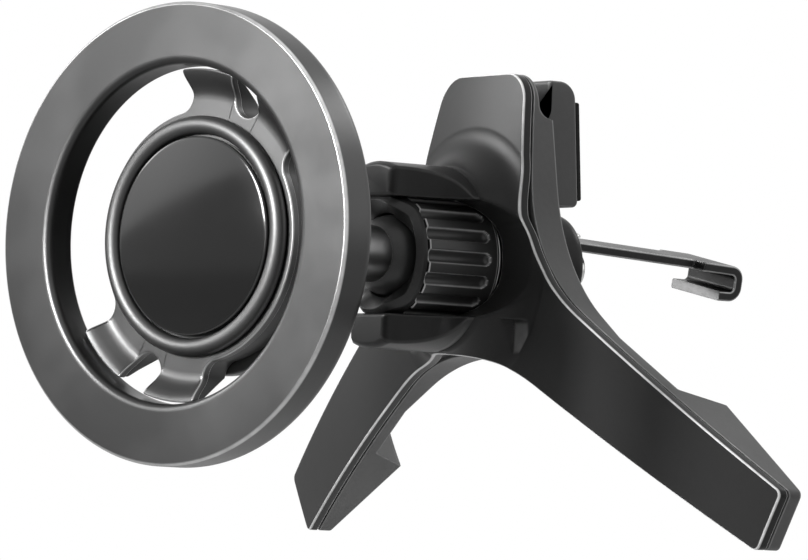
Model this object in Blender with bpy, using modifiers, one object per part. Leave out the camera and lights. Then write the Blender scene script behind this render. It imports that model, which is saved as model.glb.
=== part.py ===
"""Magnetic car phone mount with a ring head, a ball joint and a screw-drawn vent hook.

The origin lies on the barrel axis, in the plane of the three rubber feet.
+Y points into the air vent, +Z is up and the phone faces -Y.
Pieces are drawn in a working frame of (across, up, forward), where forward
runs from the vent towards the phone, and two empties carry that frame.
"""
import math

import bmesh
import bpy

MM = 0.001

# Clearances
GAP = 0.3 * MM
RUNNING_GAP = 0.4 * MM
OVERCUT = 2.0 * MM
THROUGH = 60.0 * MM

# Ring head
RING_OUTER_R = 29.0 * MM
RING_WIDTH = 7.8 * MM
RING_DEPTH = 5.0 * MM
RING_EDGE_CHAMFER = 0.5 * MM
RING_INNER_ROUND = 1.4 * MM
RING_BACK_ROUND = 1.2 * MM
RING_WALL = 1.4 * MM
MAGNET_DEPTH = 2.0 * MM
MAGNET_COUNT = 8
MAGNET_SPLIT = 0.8 * MM
BACK_COVER_DEPTH = 0.8 * MM

# Hub in the middle of the ring
KIDNEY_DEPTH = 5.3 * MM
HUB_DEPTH = 4.4 * MM
HUB_RECESS = 5.0 * MM
HUB_ROLL = math.radians(66.0)
KIDNEY_SPAN = math.radians(120.0)
KIDNEY_CORNER = 2.2 * MM
SPOKE_BEND_WIDTH = 3.3 * MM
SPOKE_BEND_RISE = 2.0 * MM
SPOKE_TIP_DEPTH = 1.6 * MM
NOTCH_WIDTH = 4.6 * MM
NOTCH_DEPTH = 4.6 * MM
NOTCH_CORNER = 2.2 * MM
BEZEL_MARGIN = 0.8 * MM
BEZEL_WIDTH = 2.3 * MM
BEZEL_DEPTH = 1.3 * MM
CAP_EDGE_DEPTH = 0.8 * MM
CAP_CROWN = 0.9 * MM
HUB_SCREW_HEAD_R = 3.0 * MM
HUB_SCREW_HEAD_DEPTH = 1.2 * MM
HUB_SCREW_R = 1.5 * MM
HUB_SCREW_LENGTH = 8.0 * MM

# Stem and ball joint
BALL_R = 5.3 * MM
BALL_AHEAD = 0.8 * MM
HEAD_REACH = 42.3 * MM
HEAD_PAN = math.radians(16.0)
STEM_R = 3.7 * MM
STEM_NECK_R = 3.3 * MM
STEM_NECK_END = 5.0 * MM
STEM_TAPER = 0.35 * MM
FLANGE_MARGIN = 0.4 * MM
STEM_FLANGE_DEPTH = 2.4 * MM
STEM_FILLET = 4.5 * MM
SOCKET_WALL = 0.9 * MM
SOCKET_LIP = 3.1 * MM
SOCKET_COLLAR_CHAMFER = 0.8 * MM
SOCKET_SADDLE = 2.1 * MM
SADDLE_CREST = 2.6 * MM
SADDLE_FOOT = 5.4 * MM
SADDLE_ROUND = 1.5 * MM
SOCKET_EAR_WIDTH = 4.0 * MM
SOCKET_EAR_HEIGHT = 1.2 * MM
SOCKET_EAR_DEPTH = 1.8 * MM
SOCKET_EAR_SETBACK = 1.2 * MM

# Barrel and thumbwheel
BARREL_R = 12.15 * MM
BROW_OVERHANG = 0.4 * MM
BARREL_EDGE_ROUND = 0.8 * MM
ARM_HALF_WIDTH = 4.2 * MM
ARM_CHAMFER = 0.75 * MM
ARM_FLANK_R = 8.0 * MM
WHEEL_R = 7.8 * MM
WHEEL_LENGTH = 10.7 * MM
FLUTE_COUNT = 16
FLUTE_R = 0.9 * MM
FLUTE_DEPTH = 0.75 * MM
FLUTE_STOP = 1.2 * MM
SLEEVE_R = 4.2 * MM
WASHER_DEPTH = 0.8 * MM
WINDOW_HALF_HEIGHT = 7.6 * MM
WINDOW_CORNER = 5.5 * MM

# Three-legged body
COVER_DEPTH = 1.4 * MM
FLARE_R = 5.5 * MM
FACE_FORWARD = 14.3 * MM
FACE_START_R = 16.0 * MM
FACE_SLOPE = 0.15
FACE_CURVE = 1.5
FACE_REACH = 68.0 * MM
LEG_DROP = math.radians(31.0)
LEG_REACH = 63.0 * MM
LEG_ROOT_REACH = 25.0 * MM
LEG_ROOT_HALF_WIDTH = 5.9 * MM
LEG_TIP_HALF_WIDTH = 4.4 * MM
LEG_TIP_CORNER = 0.9 * MM
FIN_TOP = 24.6 * MM
FIN_TOP_HALF_WIDTH = 9.0 * MM
FIN_ROOT_UP = 13.0 * MM
FIN_ROOT_HALF_WIDTH = 11.3 * MM
FIN_CORNER = 4.5 * MM
ARMPIT_R = 26.0 * MM
ARCH_R = 32.0 * MM
LEG_BACK = 8.6 * MM
LEG_BEND_REACH = 29.0 * MM
SHOULDER_BACK = 6.2 * MM
SHOULDER_REACH = 40.5 * MM
SHOULDER_RUN = 3.0 * MM
PAD_DEPTH = 1.0 * MM
PAD_PROUD = 0.4 * MM
PAD_SIDE_MARGIN = 1.0 * MM
PAD_CORNER = 0.7 * MM
BLOCK_HALF_WIDTH = 6.2 * MM
BLOCK_BOTTOM = 7.8 * MM
BLOCK_TOP = 24.2 * MM
BLOCK_CORNER = 2.5 * MM
BLOCK_LEAN = 1.3 * MM
SLOT_CENTRE = 8.7 * MM
SLOT_WIDTH = 3.8 * MM
SLOT_BOTTOM = 18.7 * MM
SLOT_CORNER = 1.8 * MM
POCKET_ACROSS = 13.0 * MM
POCKET_UP = -10.0 * MM
POCKET_WIDTH = 3.6 * MM
POCKET_HEIGHT = 4.6 * MM
POCKET_FLOOR = 0.7 * MM
SCREW_CIRCLE_R = 10.2 * MM
SCREW_HEAD_R = 1.7 * MM
SCREW_HEAD_DEPTH = 1.3 * MM
SCREW_R = 0.9 * MM
SCREW_LENGTH = 8.0 * MM
SCREW_ANGLES = (math.radians(240.0), math.radians(300.0))

# Hook and its drive
BOSS_R = 7.1 * MM
BOSS_WALL = 1.4 * MM
BOSS_BACK = 0.4 * MM
BOSS_ROUND = 1.3 * MM
ROD_R = 2.0 * MM
ROD_TAIL_R = 2.6 * MM
ROD_TAIL_LENGTH = 3.4 * MM
HOOK_TRAVEL = 8.1 * MM
HOOK_ROLL = math.radians(-10.0)
HOOK_START = 0.4 * MM
HOOK_THICKNESS = 1.3 * MM
HOOK_BAR_WIDTH = 7.0 * MM
HOOK_END_WIDTH = 11.0 * MM
HOOK_END_RUN = 6.8 * MM
HOOK_REACH = 26.6 * MM
HOOK_SLOPE = math.radians(3.2)
HOOK_HEIGHT = 4.7 * MM
HOOK_LIP = 3.6 * MM
HOOK_BEND_R = 1.9 * MM
RIVET_R = 0.8 * MM
RIVET_HEAD_R = 1.5 * MM
RIVET_HEAD_DEPTH = 0.6 * MM
RIVET_DEPTH = 1.8 * MM

# Facet counts
RING_STEPS = 60
BODY_STEPS = 56
ROUND_STEPS = 24
SMALL_STEPS = 16
FLUTE_STEPS = 9
FACE_STEPS = 8
ARC_STEPS = 6
EDGE_STEPS = 4
ARC_SPACING = 2.5 * MM


def face_forward(reach):
    """Return how far forward the face of the body lies at a distance from the axis."""
    out = reach - FACE_START_R
    return FACE_FORWARD - FACE_SLOPE * out - FACE_CURVE * out * out


# Radii, and stations along the forward axis, that follow from the sizes above
RING_INNER_R = RING_OUTER_R - RING_WIDTH
HUB_R = RING_INNER_R - KIDNEY_DEPTH
STEM_FLANGE_R = RING_INNER_R - GAP - SPOKE_BEND_WIDTH - FLANGE_MARGIN
BEZEL_OUTER_R = HUB_R - BEZEL_MARGIN
BEZEL_INNER_R = BEZEL_OUTER_R - BEZEL_WIDTH
FOOT_BACK = PAD_PROUD
PAD_SEAT = PAD_DEPTH + GAP
COVER_BACK = face_forward(BARREL_R) - COVER_DEPTH
SHELL_FRONT = COVER_BACK - GAP
WASHER_FRONT = SHELL_FRONT + GAP + WASHER_DEPTH
WHEEL_BACK = WASHER_FRONT + GAP
WHEEL_FRONT = WHEEL_BACK + WHEEL_LENGTH
BALL_FORWARD = WHEEL_FRONT + BALL_AHEAD
SOCKET_FRONT = BALL_FORWARD + SOCKET_LIP
BARREL_FRONT = SOCKET_FRONT + BROW_OVERHANG
BARREL_BORE_R = WHEEL_R + RUNNING_GAP
CAVITY_R = BALL_R + GAP
CUP_R = CAVITY_R + SOCKET_WALL
CUP_BACK = BALL_FORWARD - CUP_R
COLLAR_R = BARREL_BORE_R - GAP
FLARE_END_R = BARREL_R + FLARE_R
FLARE_TOP = face_forward(FLARE_END_R) + FLARE_R
SLEEVE_BACK = HOOK_START + HOOK_TRAVEL + RUNNING_GAP
ROD_FRONT = CUP_BACK - HOOK_TRAVEL - GAP
ROD_TAIL_BACK = HOOK_START - ROD_TAIL_LENGTH

for leftover in list(bpy.data.objects):
    bpy.data.objects.remove(leftover)

PARTS = bpy.data.collections.new("car_phone_mount")
CUTTERS = bpy.data.collections.new("car_phone_mount_cutters")
bpy.context.scene.collection.children.link(PARTS)
bpy.context.scene.collection.children.link(CUTTERS)


def finish(name, colour, roughness, metallic):
    """Return a Principled material."""
    material = bpy.data.materials.new(name)
    material.use_nodes = True
    shader = material.node_tree.nodes["Principled BSDF"]
    shader.inputs["Base Color"].default_value = (*colour, 1.0)
    shader.inputs["Roughness"].default_value = roughness
    shader.inputs["Metallic"].default_value = metallic
    return material


GUNMETAL = finish("gunmetal", (0.17, 0.17, 0.175), 0.32, 1.0)
SPIDER_GREY = finish("spider_grey", (0.15, 0.15, 0.15), 0.4, 0.8)
GLOSS_BLACK = finish("gloss_black", (0.006, 0.006, 0.007), 0.12, 0.0)
BEZEL_BLACK = finish("bezel_black", (0.03, 0.03, 0.03), 0.35, 0.0)
MAGNET_NICKEL = finish("magnet_nickel", (0.55, 0.54, 0.5), 0.25, 1.0)
STEEL = finish("steel", (0.4, 0.4, 0.4), 0.3, 1.0)
SHELL_BLACK = finish("shell_black", (0.022, 0.022, 0.023), 0.42, 0.0)
SHELL_GREY = finish("shell_grey", (0.045, 0.045, 0.046), 0.45, 0.0)
ACETAL = finish("acetal", (0.05, 0.05, 0.052), 0.5, 0.0)
WHEEL_BLACK = finish("wheel_black", (0.018, 0.018, 0.018), 0.4, 0.0)
RUBBER = finish("rubber", (0.012, 0.012, 0.012), 0.8, 0.0)
HOOK_GREY = finish("hook_grey", (0.1, 0.1, 0.1), 0.4, 0.9)


def empty(name, forward, pan):
    """Return an empty whose local axes are across, up and forward."""
    frame = bpy.data.objects.new(name, None)
    frame.location = (0.0, -forward, 0.0)
    frame.rotation_euler = (math.radians(90.0), 0.0, pan)
    PARTS.objects.link(frame)
    return frame


# Turns that draw an outline in the (forward, up) plane and in the (across, forward) plane,
# and a profile about the upward axis
SIDEWAYS = (0.0, math.radians(-90.0), 0.0)
PLANWISE = (math.radians(90.0), 0.0, 0.0)
UPWARD = (math.radians(-90.0), 0.0, 0.0)

BODY_AXIS = empty("body_axis", 0.0, 0.0)
HEAD_AXIS = empty("head_axis", BALL_FORWARD, HEAD_PAN)


def rolled(turn):
    """Return a turn followed by the hook's roll about the forward axis."""
    return (turn[0], turn[1], HOOK_ROLL)


def add(name, mesh, material, frame, rotation=(0.0, 0.0, 0.0), location=(0.0, 0.0, 0.0)):
    """Place a mesh as a part, or as a cutter where it has no material."""
    part = bpy.data.objects.new(name, mesh)
    part.parent = frame
    part.rotation_euler = rotation
    part.location = location
    if material is None:
        CUTTERS.objects.link(part)
        part.hide_render = True
        part.display_type = "WIRE"
    else:
        mesh.materials.append(material)
        PARTS.objects.link(part)
    return part


def rounded(corners):
    """Return a loop of points with an arc at each corner of (x, y, radius)."""
    loop = []
    count = len(corners)
    for index, (x, y, radius) in enumerate(corners):
        before = corners[index - 1]
        after = corners[(index + 1) % count]
        to_before = math.atan2(before[1] - y, before[0] - x)
        to_after = math.atan2(after[1] - y, after[0] - x)
        turn = (to_after - to_before + math.pi) % (2.0 * math.pi) - math.pi
        if radius <= 0.0 or abs(abs(turn) - math.pi) < 1e-6:
            loop.append((x, y))
            continue
        half = abs(turn) / 2.0
        bisector = to_before + turn / 2.0
        centre_x = x + radius / math.sin(half) * math.cos(bisector)
        centre_y = y + radius / math.sin(half) * math.sin(bisector)
        sweep = math.pi - abs(turn)
        side = 1.0 if turn > 0.0 else -1.0
        for step in range(ARC_STEPS + 1):
            angle = bisector + math.pi + side * sweep * (0.5 - step / ARC_STEPS)
            loop.append((centre_x + radius * math.cos(angle), centre_y + radius * math.sin(angle)))
    return loop


def wrapped(loop, radius):
    """Roll a loop of (arc length, radius) around the axis, with its long edges subdivided."""
    points = []
    for index, (along, reach) in enumerate(loop):
        next_along, next_reach = loop[(index + 1) % len(loop)]
        count = max(1, round(abs(next_along - along) / ARC_SPACING))
        for step in range(count):
            share = step / count
            angle = (along + share * (next_along - along)) / radius
            arm = reach + share * (next_reach - reach)
            points.append((arm * math.cos(angle), arm * math.sin(angle)))
    return points


def plate(name, loop, thickness, material, frame, rotation=(0.0, 0.0, 0.0),
          location=(0.0, 0.0, 0.0)):
    """Extrude a flat outline half its thickness each way, as a closed mesh."""
    outline = bpy.data.curves.new(name, "CURVE")
    outline.dimensions = "2D"
    outline.fill_mode = "BOTH"
    outline.extrude = thickness / 2.0
    spline = outline.splines.new("POLY")
    spline.points.add(len(loop) - 1)
    for point, (x, y) in zip(spline.points, loop):
        point.co = (x, y, 0.0, 1.0)
    spline.use_cyclic_u = True
    drawn = bpy.data.objects.new(name + "_outline", outline)
    CUTTERS.objects.link(drawn)
    depsgraph = bpy.context.evaluated_depsgraph_get()
    mesh = bpy.data.meshes.new_from_object(drawn.evaluated_get(depsgraph))
    bpy.data.objects.remove(drawn)
    surface = bmesh.new()
    surface.from_mesh(mesh)
    bmesh.ops.remove_doubles(surface, verts=surface.verts, dist=1e-6)
    bmesh.ops.recalc_face_normals(surface, faces=surface.faces)
    surface.to_mesh(mesh)
    surface.free()
    mesh.materials.clear()
    return add(name, mesh, material, frame, rotation, location)


def turned(name, profile, steps, material, frame, rotation=(0.0, 0.0, 0.0),
           location=(0.0, 0.0, 0.0)):
    """Turn a profile of (radius, forward) about the forward axis.

    The profile runs down its outer side. One that starts and ends on the axis
    is open, and any other is closed into a ring.
    """
    mesh = bpy.data.meshes.new(name)
    lathe = bmesh.new()
    points = [lathe.verts.new((radius, 0.0, forward)) for radius, forward in profile]
    for first, second in zip(points, points[1:]):
        lathe.edges.new((first, second))
    if profile[0][0] > 0.0:
        lathe.edges.new((points[-1], points[0]))
    lathe.to_mesh(mesh)
    lathe.free()
    part = add(name, mesh, material, frame, rotation, location)
    screw = part.modifiers.new("Turn", "SCREW")
    screw.axis = "Z"
    screw.steps = steps
    screw.render_steps = steps
    screw.use_merge_vertices = True
    screw.merge_threshold = 1e-6
    screw.use_smooth_shade = True
    return part


def combine(part, other, operation="DIFFERENCE"):
    """Add a Boolean with another mesh."""
    boolean = part.modifiers.new(other.name, "BOOLEAN")
    boolean.operation = operation
    boolean.solver = "EXACT"
    boolean.object = other


def arc(centre_r, centre_forward, radius, start, end, steps=ARC_STEPS):
    """Return profile points on an arc from one angle to another, in degrees."""
    angles = [math.radians(start + (end - start) * step / steps) for step in range(steps + 1)]
    return [(centre_r + radius * math.cos(a), centre_forward + radius * math.sin(a)) for a in angles]


def rod_cutter(name, radius, back, front, steps, frame, location=(0.0, 0.0, 0.0)):
    """Return a round cutter between two stations on a forward axis."""
    profile = [(0.0, front), (radius, front), (radius, back), (0.0, back)]
    return turned(name, profile, steps, None, frame, location=location)


def build_ring():
    """Make the ring channel, the arc magnets in it and the cover that closes it."""
    front = HEAD_REACH
    back = HEAD_REACH - RING_DEPTH
    channel_inner = RING_INNER_R + RING_WALL
    channel_outer = RING_OUTER_R - RING_WALL
    floor = back + BACK_COVER_DEPTH + MAGNET_DEPTH + 2.0 * GAP
    profile = [(RING_OUTER_R - RING_EDGE_CHAMFER, front), (RING_OUTER_R, front - RING_EDGE_CHAMFER)]
    profile += arc(RING_OUTER_R - RING_BACK_ROUND, back + RING_BACK_ROUND, RING_BACK_ROUND, 0, -90,
                   EDGE_STEPS)
    profile += [(channel_outer, back), (channel_outer, floor), (channel_inner, floor)]
    profile += [(channel_inner, back), (RING_INNER_R + 0.5 * RING_WALL, back)]
    profile += [(RING_INNER_R, back + 0.5 * RING_WALL)]
    profile += arc(RING_INNER_R + RING_INNER_ROUND, front - RING_INNER_ROUND, RING_INNER_ROUND, 180, 90,
                   EDGE_STEPS)
    turned("head_ring", profile, RING_STEPS, GUNMETAL, HEAD_AXIS)

    inner = channel_inner + GAP
    outer = channel_outer - GAP
    seat = back + BACK_COVER_DEPTH
    cover = [(outer, seat), (outer, back), (inner, back), (inner, seat)]
    turned("ring_back_cover", cover, RING_STEPS, BEZEL_BLACK, HEAD_AXIS)

    middle = (inner + outer) / 2.0
    length = 2.0 * math.pi * middle / MAGNET_COUNT - MAGNET_SPLIT
    half = length / 2.0
    strip = [(-half, inner), (half, inner), (half, outer), (-half, outer)]
    forward = seat + GAP + MAGNET_DEPTH / 2.0
    for index in range(MAGNET_COUNT):
        turn = 2.0 * math.pi * (index + 0.5) / MAGNET_COUNT
        loop = wrapped(strip, middle)
        plate(f"magnet_{index + 1}", loop, MAGNET_DEPTH, MAGNET_NICKEL, HEAD_AXIS,
              (0.0, 0.0, turn), (0.0, 0.0, forward))


def build_hub():
    """Make the spider plate, its bezel, the domed cap and the screw behind the cap."""
    front = HEAD_REACH - HUB_RECESS
    back = front - HUB_DEPTH
    rim = RING_INNER_R - GAP
    bend = rim - SPOKE_BEND_WIDTH
    tip = front + SPOKE_BEND_RISE
    spider = turned("hub_plate", [(0.0, front), (bend, front), (rim, tip), (rim, tip - SPOKE_TIP_DEPTH),
                                  (bend, back), (0.0, back)], RING_STEPS, SPIDER_GREY, HEAD_AXIS)
    middle = (HUB_R + rim) / 2.0
    half = KIDNEY_SPAN / 2.0 * middle
    kidney = rounded([(-half, HUB_R, KIDNEY_CORNER), (half, HUB_R, KIDNEY_CORNER),
                      (half, rim + OVERCUT, 0.0), (-half, rim + OVERCUT, 0.0)])
    notch_floor = rim - NOTCH_DEPTH
    notch = rounded([(notch_floor, -NOTCH_WIDTH / 2.0, NOTCH_CORNER),
                     (rim + OVERCUT, -NOTCH_WIDTH / 2.0, 0.0),
                     (rim + OVERCUT, NOTCH_WIDTH / 2.0, 0.0),
                     (notch_floor, NOTCH_WIDTH / 2.0, NOTCH_CORNER)])
    level = (0.0, 0.0, (tip + back) / 2.0)
    deep = tip - back + OVERCUT
    for side in range(2):
        spoke = HUB_ROLL + side * math.pi
        loop = wrapped(kidney, middle)
        combine(spider, plate(f"kidney_cut_{side}", loop, deep, None, HEAD_AXIS,
                              (0.0, 0.0, spoke + math.pi / 2.0), level))
        combine(spider, plate(f"notch_cut_{side}", notch, deep, None, HEAD_AXIS,
                              (0.0, 0.0, spoke), level))

    sunk = front - HUB_SCREW_HEAD_DEPTH - GAP
    seat = sunk - GAP
    combine(spider, rod_cutter("hub_counterbore", HUB_SCREW_HEAD_R + GAP, seat, front + OVERCUT,
                               SMALL_STEPS, HEAD_AXIS))
    combine(spider, rod_cutter("hub_bore", HUB_SCREW_R + GAP, back - OVERCUT, front + OVERCUT,
                               SMALL_STEPS, HEAD_AXIS))
    end = sunk - HUB_SCREW_LENGTH
    turned("hub_screw", [(0.0, front - GAP), (HUB_SCREW_HEAD_R, front - GAP), (HUB_SCREW_HEAD_R, sunk),
                         (HUB_SCREW_R, sunk), (HUB_SCREW_R, end), (0.0, end)],
           SMALL_STEPS, STEEL, HEAD_AXIS)

    base = front + GAP
    top = base + BEZEL_DEPTH
    roll = BEZEL_WIDTH / 2.0
    crest = arc(BEZEL_INNER_R + roll, top - roll, roll, 180, 0, EDGE_STEPS)
    turned("hub_bezel", crest + [(BEZEL_OUTER_R, base), (BEZEL_INNER_R, base)],
           BODY_STEPS, BEZEL_BLACK, HEAD_AXIS)
    cap_r = BEZEL_INNER_R - GAP
    shoulder = base + CAP_EDGE_DEPTH
    dome_r = (cap_r ** 2 + CAP_CROWN ** 2) / (2.0 * CAP_CROWN)
    spread = math.degrees(math.asin(cap_r / dome_r))
    dome = arc(0.0, shoulder + CAP_CROWN - dome_r, dome_r, 90, 90 - spread, EDGE_STEPS)
    dome[0] = (0.0, shoulder + CAP_CROWN)
    turned("hub_cap", dome + [(cap_r, base), (0.0, base)], BODY_STEPS, GLOSS_BLACK, HEAD_AXIS)


def build_stem():
    """Make the ball and the stem that carries the hub on it."""
    bpy.ops.mesh.primitive_uv_sphere_add(segments=ROUND_STEPS, ring_count=ROUND_STEPS // 2, radius=BALL_R)
    ball = bpy.context.object
    ball.name = "ball"
    ball.data.shade_smooth()
    ball.data.materials.append(GUNMETAL)
    for owner in list(ball.users_collection):
        owner.objects.unlink(ball)
    PARTS.objects.link(ball)
    ball.parent = HEAD_AXIS

    top = HEAD_REACH - HUB_RECESS - HUB_DEPTH - GAP
    flange_back = top - STEM_FLANGE_DEPTH
    cup_r = BALL_R + GAP
    cup_edge = math.degrees(math.asin(STEM_NECK_R / cup_r))
    profile = [(0.0, top), (STEM_FLANGE_R, top), (STEM_FLANGE_R, flange_back)]
    profile += arc(STEM_R + STEM_FILLET, flange_back - STEM_FILLET, STEM_FILLET, 90, 180)
    profile += [(STEM_R, STEM_NECK_END + STEM_TAPER), (STEM_NECK_R, STEM_NECK_END)]
    cup = arc(0.0, 0.0, cup_r, 90 - cup_edge, 90, EDGE_STEPS)
    cup[-1] = (0.0, cup_r)
    stem = turned("stem", profile + cup, ROUND_STEPS, GUNMETAL, HEAD_AXIS)
    screw_end = HEAD_REACH - HUB_RECESS - HUB_SCREW_HEAD_DEPTH - GAP - HUB_SCREW_LENGTH
    combine(stem, rod_cutter("stem_bore", HUB_SCREW_R + GAP, screw_end - GAP, top + OVERCUT,
                             SMALL_STEPS, HEAD_AXIS))


def build_socket():
    """Make the cup that grips the ball, with a saddle-shaped collar and two ears held in the arms."""
    lip = math.degrees(math.asin(SOCKET_LIP / CAVITY_R))
    collar_back = WHEEL_FRONT + RUNNING_GAP
    cup_top = math.degrees(math.asin((collar_back - BALL_FORWARD) / CUP_R))
    cavity = arc(0.0, BALL_FORWARD, CAVITY_R, -90, lip)
    cavity[0] = (0.0, BALL_FORWARD - CAVITY_R)
    collar = [(COLLAR_R - SOCKET_COLLAR_CHAMFER, SOCKET_FRONT),
              (COLLAR_R, SOCKET_FRONT - SOCKET_COLLAR_CHAMFER),
              (COLLAR_R, collar_back)]
    cup = arc(0.0, BALL_FORWARD, CUP_R, cup_top, -90)
    cup[-1] = (0.0, CUP_BACK)
    socket = turned("ball_socket", cavity + collar + cup, ROUND_STEPS, ACETAL, BODY_AXIS)

    wide = COLLAR_R + OVERCUT
    low = SOCKET_FRONT - SOCKET_SADDLE
    right = [(wide, CUP_BACK - OVERCUT, 0.0), (wide, low, 0.0), (SADDLE_FOOT, low, SADDLE_ROUND),
             (SADDLE_CREST, SOCKET_FRONT, SADDLE_ROUND)]
    left = [(-across, forward, radius) for across, forward, radius in reversed(right)]
    nose = rounded(right + left)
    combine(socket, plate("socket_nose", nose, THROUGH, None, BODY_AXIS, PLANWISE), "INTERSECT")
    for side, place in enumerate(ear_places()):
        block = plate(f"socket_ear_{side}", ear_outline(0.0), SOCKET_EAR_DEPTH, None, BODY_AXIS, *place)
        combine(socket, block, "UNION")


def ear_outline(clearance):
    """Return the outline of an ear of the socket, or of the slot that it sits in."""
    half = SOCKET_EAR_WIDTH / 2.0 + clearance
    root = CUP_R
    tip = BARREL_BORE_R + SOCKET_EAR_HEIGHT + clearance
    return [(-half, root), (half, root), (half, tip), (-half, tip)]


def ear_places():
    """Return the turn and the place of each ear, above and below the ball."""
    station = SOCKET_FRONT - SOCKET_EAR_SETBACK - SOCKET_EAR_DEPTH / 2.0
    return [((0.0, 0.0, side * math.pi), (0.0, 0.0, station)) for side in range(2)]


def build_wheel():
    """Make the fluted thumbwheel with its threaded sleeve, and the washer behind it."""
    hollow_r = CUP_R + RUNNING_GAP
    hollow_back = CUP_BACK - RUNNING_GAP
    bore = ROD_R + GAP
    profile = [(hollow_r, WHEEL_FRONT), (WHEEL_R, WHEEL_FRONT), (WHEEL_R, WHEEL_BACK),
               (SLEEVE_R, WHEEL_BACK), (SLEEVE_R, SLEEVE_BACK), (bore, SLEEVE_BACK),
               (bore, hollow_back), (hollow_r, hollow_back)]
    wheel = turned("thumbwheel", profile, BODY_STEPS, WHEEL_BLACK, BODY_AXIS)
    stop = WHEEL_BACK + FLUTE_STOP
    centre = WHEEL_R + FLUTE_R - FLUTE_DEPTH
    top = WHEEL_FRONT + OVERCUT
    groove = [(0.0, top), (FLUTE_R, top)] + arc(0.0, stop + FLUTE_R, FLUTE_R, 0, -90, EDGE_STEPS)
    groove[-1] = (0.0, stop)
    for index in range(FLUTE_COUNT):
        angle = 2.0 * math.pi * (index + 0.5) / FLUTE_COUNT
        place = (centre * math.cos(angle), centre * math.sin(angle), 0.0)
        combine(wheel, turned(f"flute_cut_{index}", groove, FLUTE_STEPS, None, BODY_AXIS, location=place))

    inner = SLEEVE_R + RUNNING_GAP
    turned("thrust_washer", [(WHEEL_R - GAP, WASHER_FRONT), (WHEEL_R - GAP, SHELL_FRONT + GAP),
                             (inner, SHELL_FRONT + GAP), (inner, WASHER_FRONT)],
           ROUND_STEPS, STEEL, BODY_AXIS)


def leg_point(reach, offset):
    """Return a point of the right leg, offset towards its upper edge."""
    return (reach * math.cos(LEG_DROP) + offset * math.sin(LEG_DROP),
            -reach * math.sin(LEG_DROP) + offset * math.cos(LEG_DROP))


def meet(first, second, third, fourth):
    """Return where the line through two points meets the line through two others."""
    ax, ay = first
    bx, by = second[0] - ax, second[1] - ay
    cx, cy = third
    dx, dy = fourth[0] - cx, fourth[1] - cy
    share = ((cx - ax) * dy - (cy - ay) * dx) / (bx * dy - by * dx)
    return (ax + share * bx, ay + share * by)


def body_outline():
    """Return the outline of the fin and the two legs, seen from the front."""
    fin_top = (FIN_TOP_HALF_WIDTH, FIN_TOP)
    fin_root = (FIN_ROOT_HALF_WIDTH, FIN_ROOT_UP)
    upper_tip = leg_point(LEG_REACH, LEG_TIP_HALF_WIDTH)
    lower_tip = leg_point(LEG_REACH, -LEG_TIP_HALF_WIDTH)
    armpit = meet(fin_top, fin_root, leg_point(LEG_ROOT_REACH, LEG_ROOT_HALF_WIDTH), upper_tip)
    arch = meet(lower_tip, leg_point(LEG_ROOT_REACH, -LEG_ROOT_HALF_WIDTH), (0.0, 0.0), (0.0, 1.0))
    right = [(*fin_top, FIN_CORNER), (*armpit, ARMPIT_R), (*upper_tip, LEG_TIP_CORNER),
             (*lower_tip, LEG_TIP_CORNER)]
    left = [(-x, y, radius) for x, y, radius in reversed(right)]
    return rounded(right + [(0.0, arch[1], ARCH_R)] + left)


def face_profile(start, lift):
    """Return the face's profile from a distance outwards, lifted off the face by an amount."""
    reaches = [start + (FACE_REACH - start) * step / FACE_STEPS for step in range(FACE_STEPS + 1)]
    return [(reach, face_forward(reach) + lift) for reach in reaches]


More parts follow.
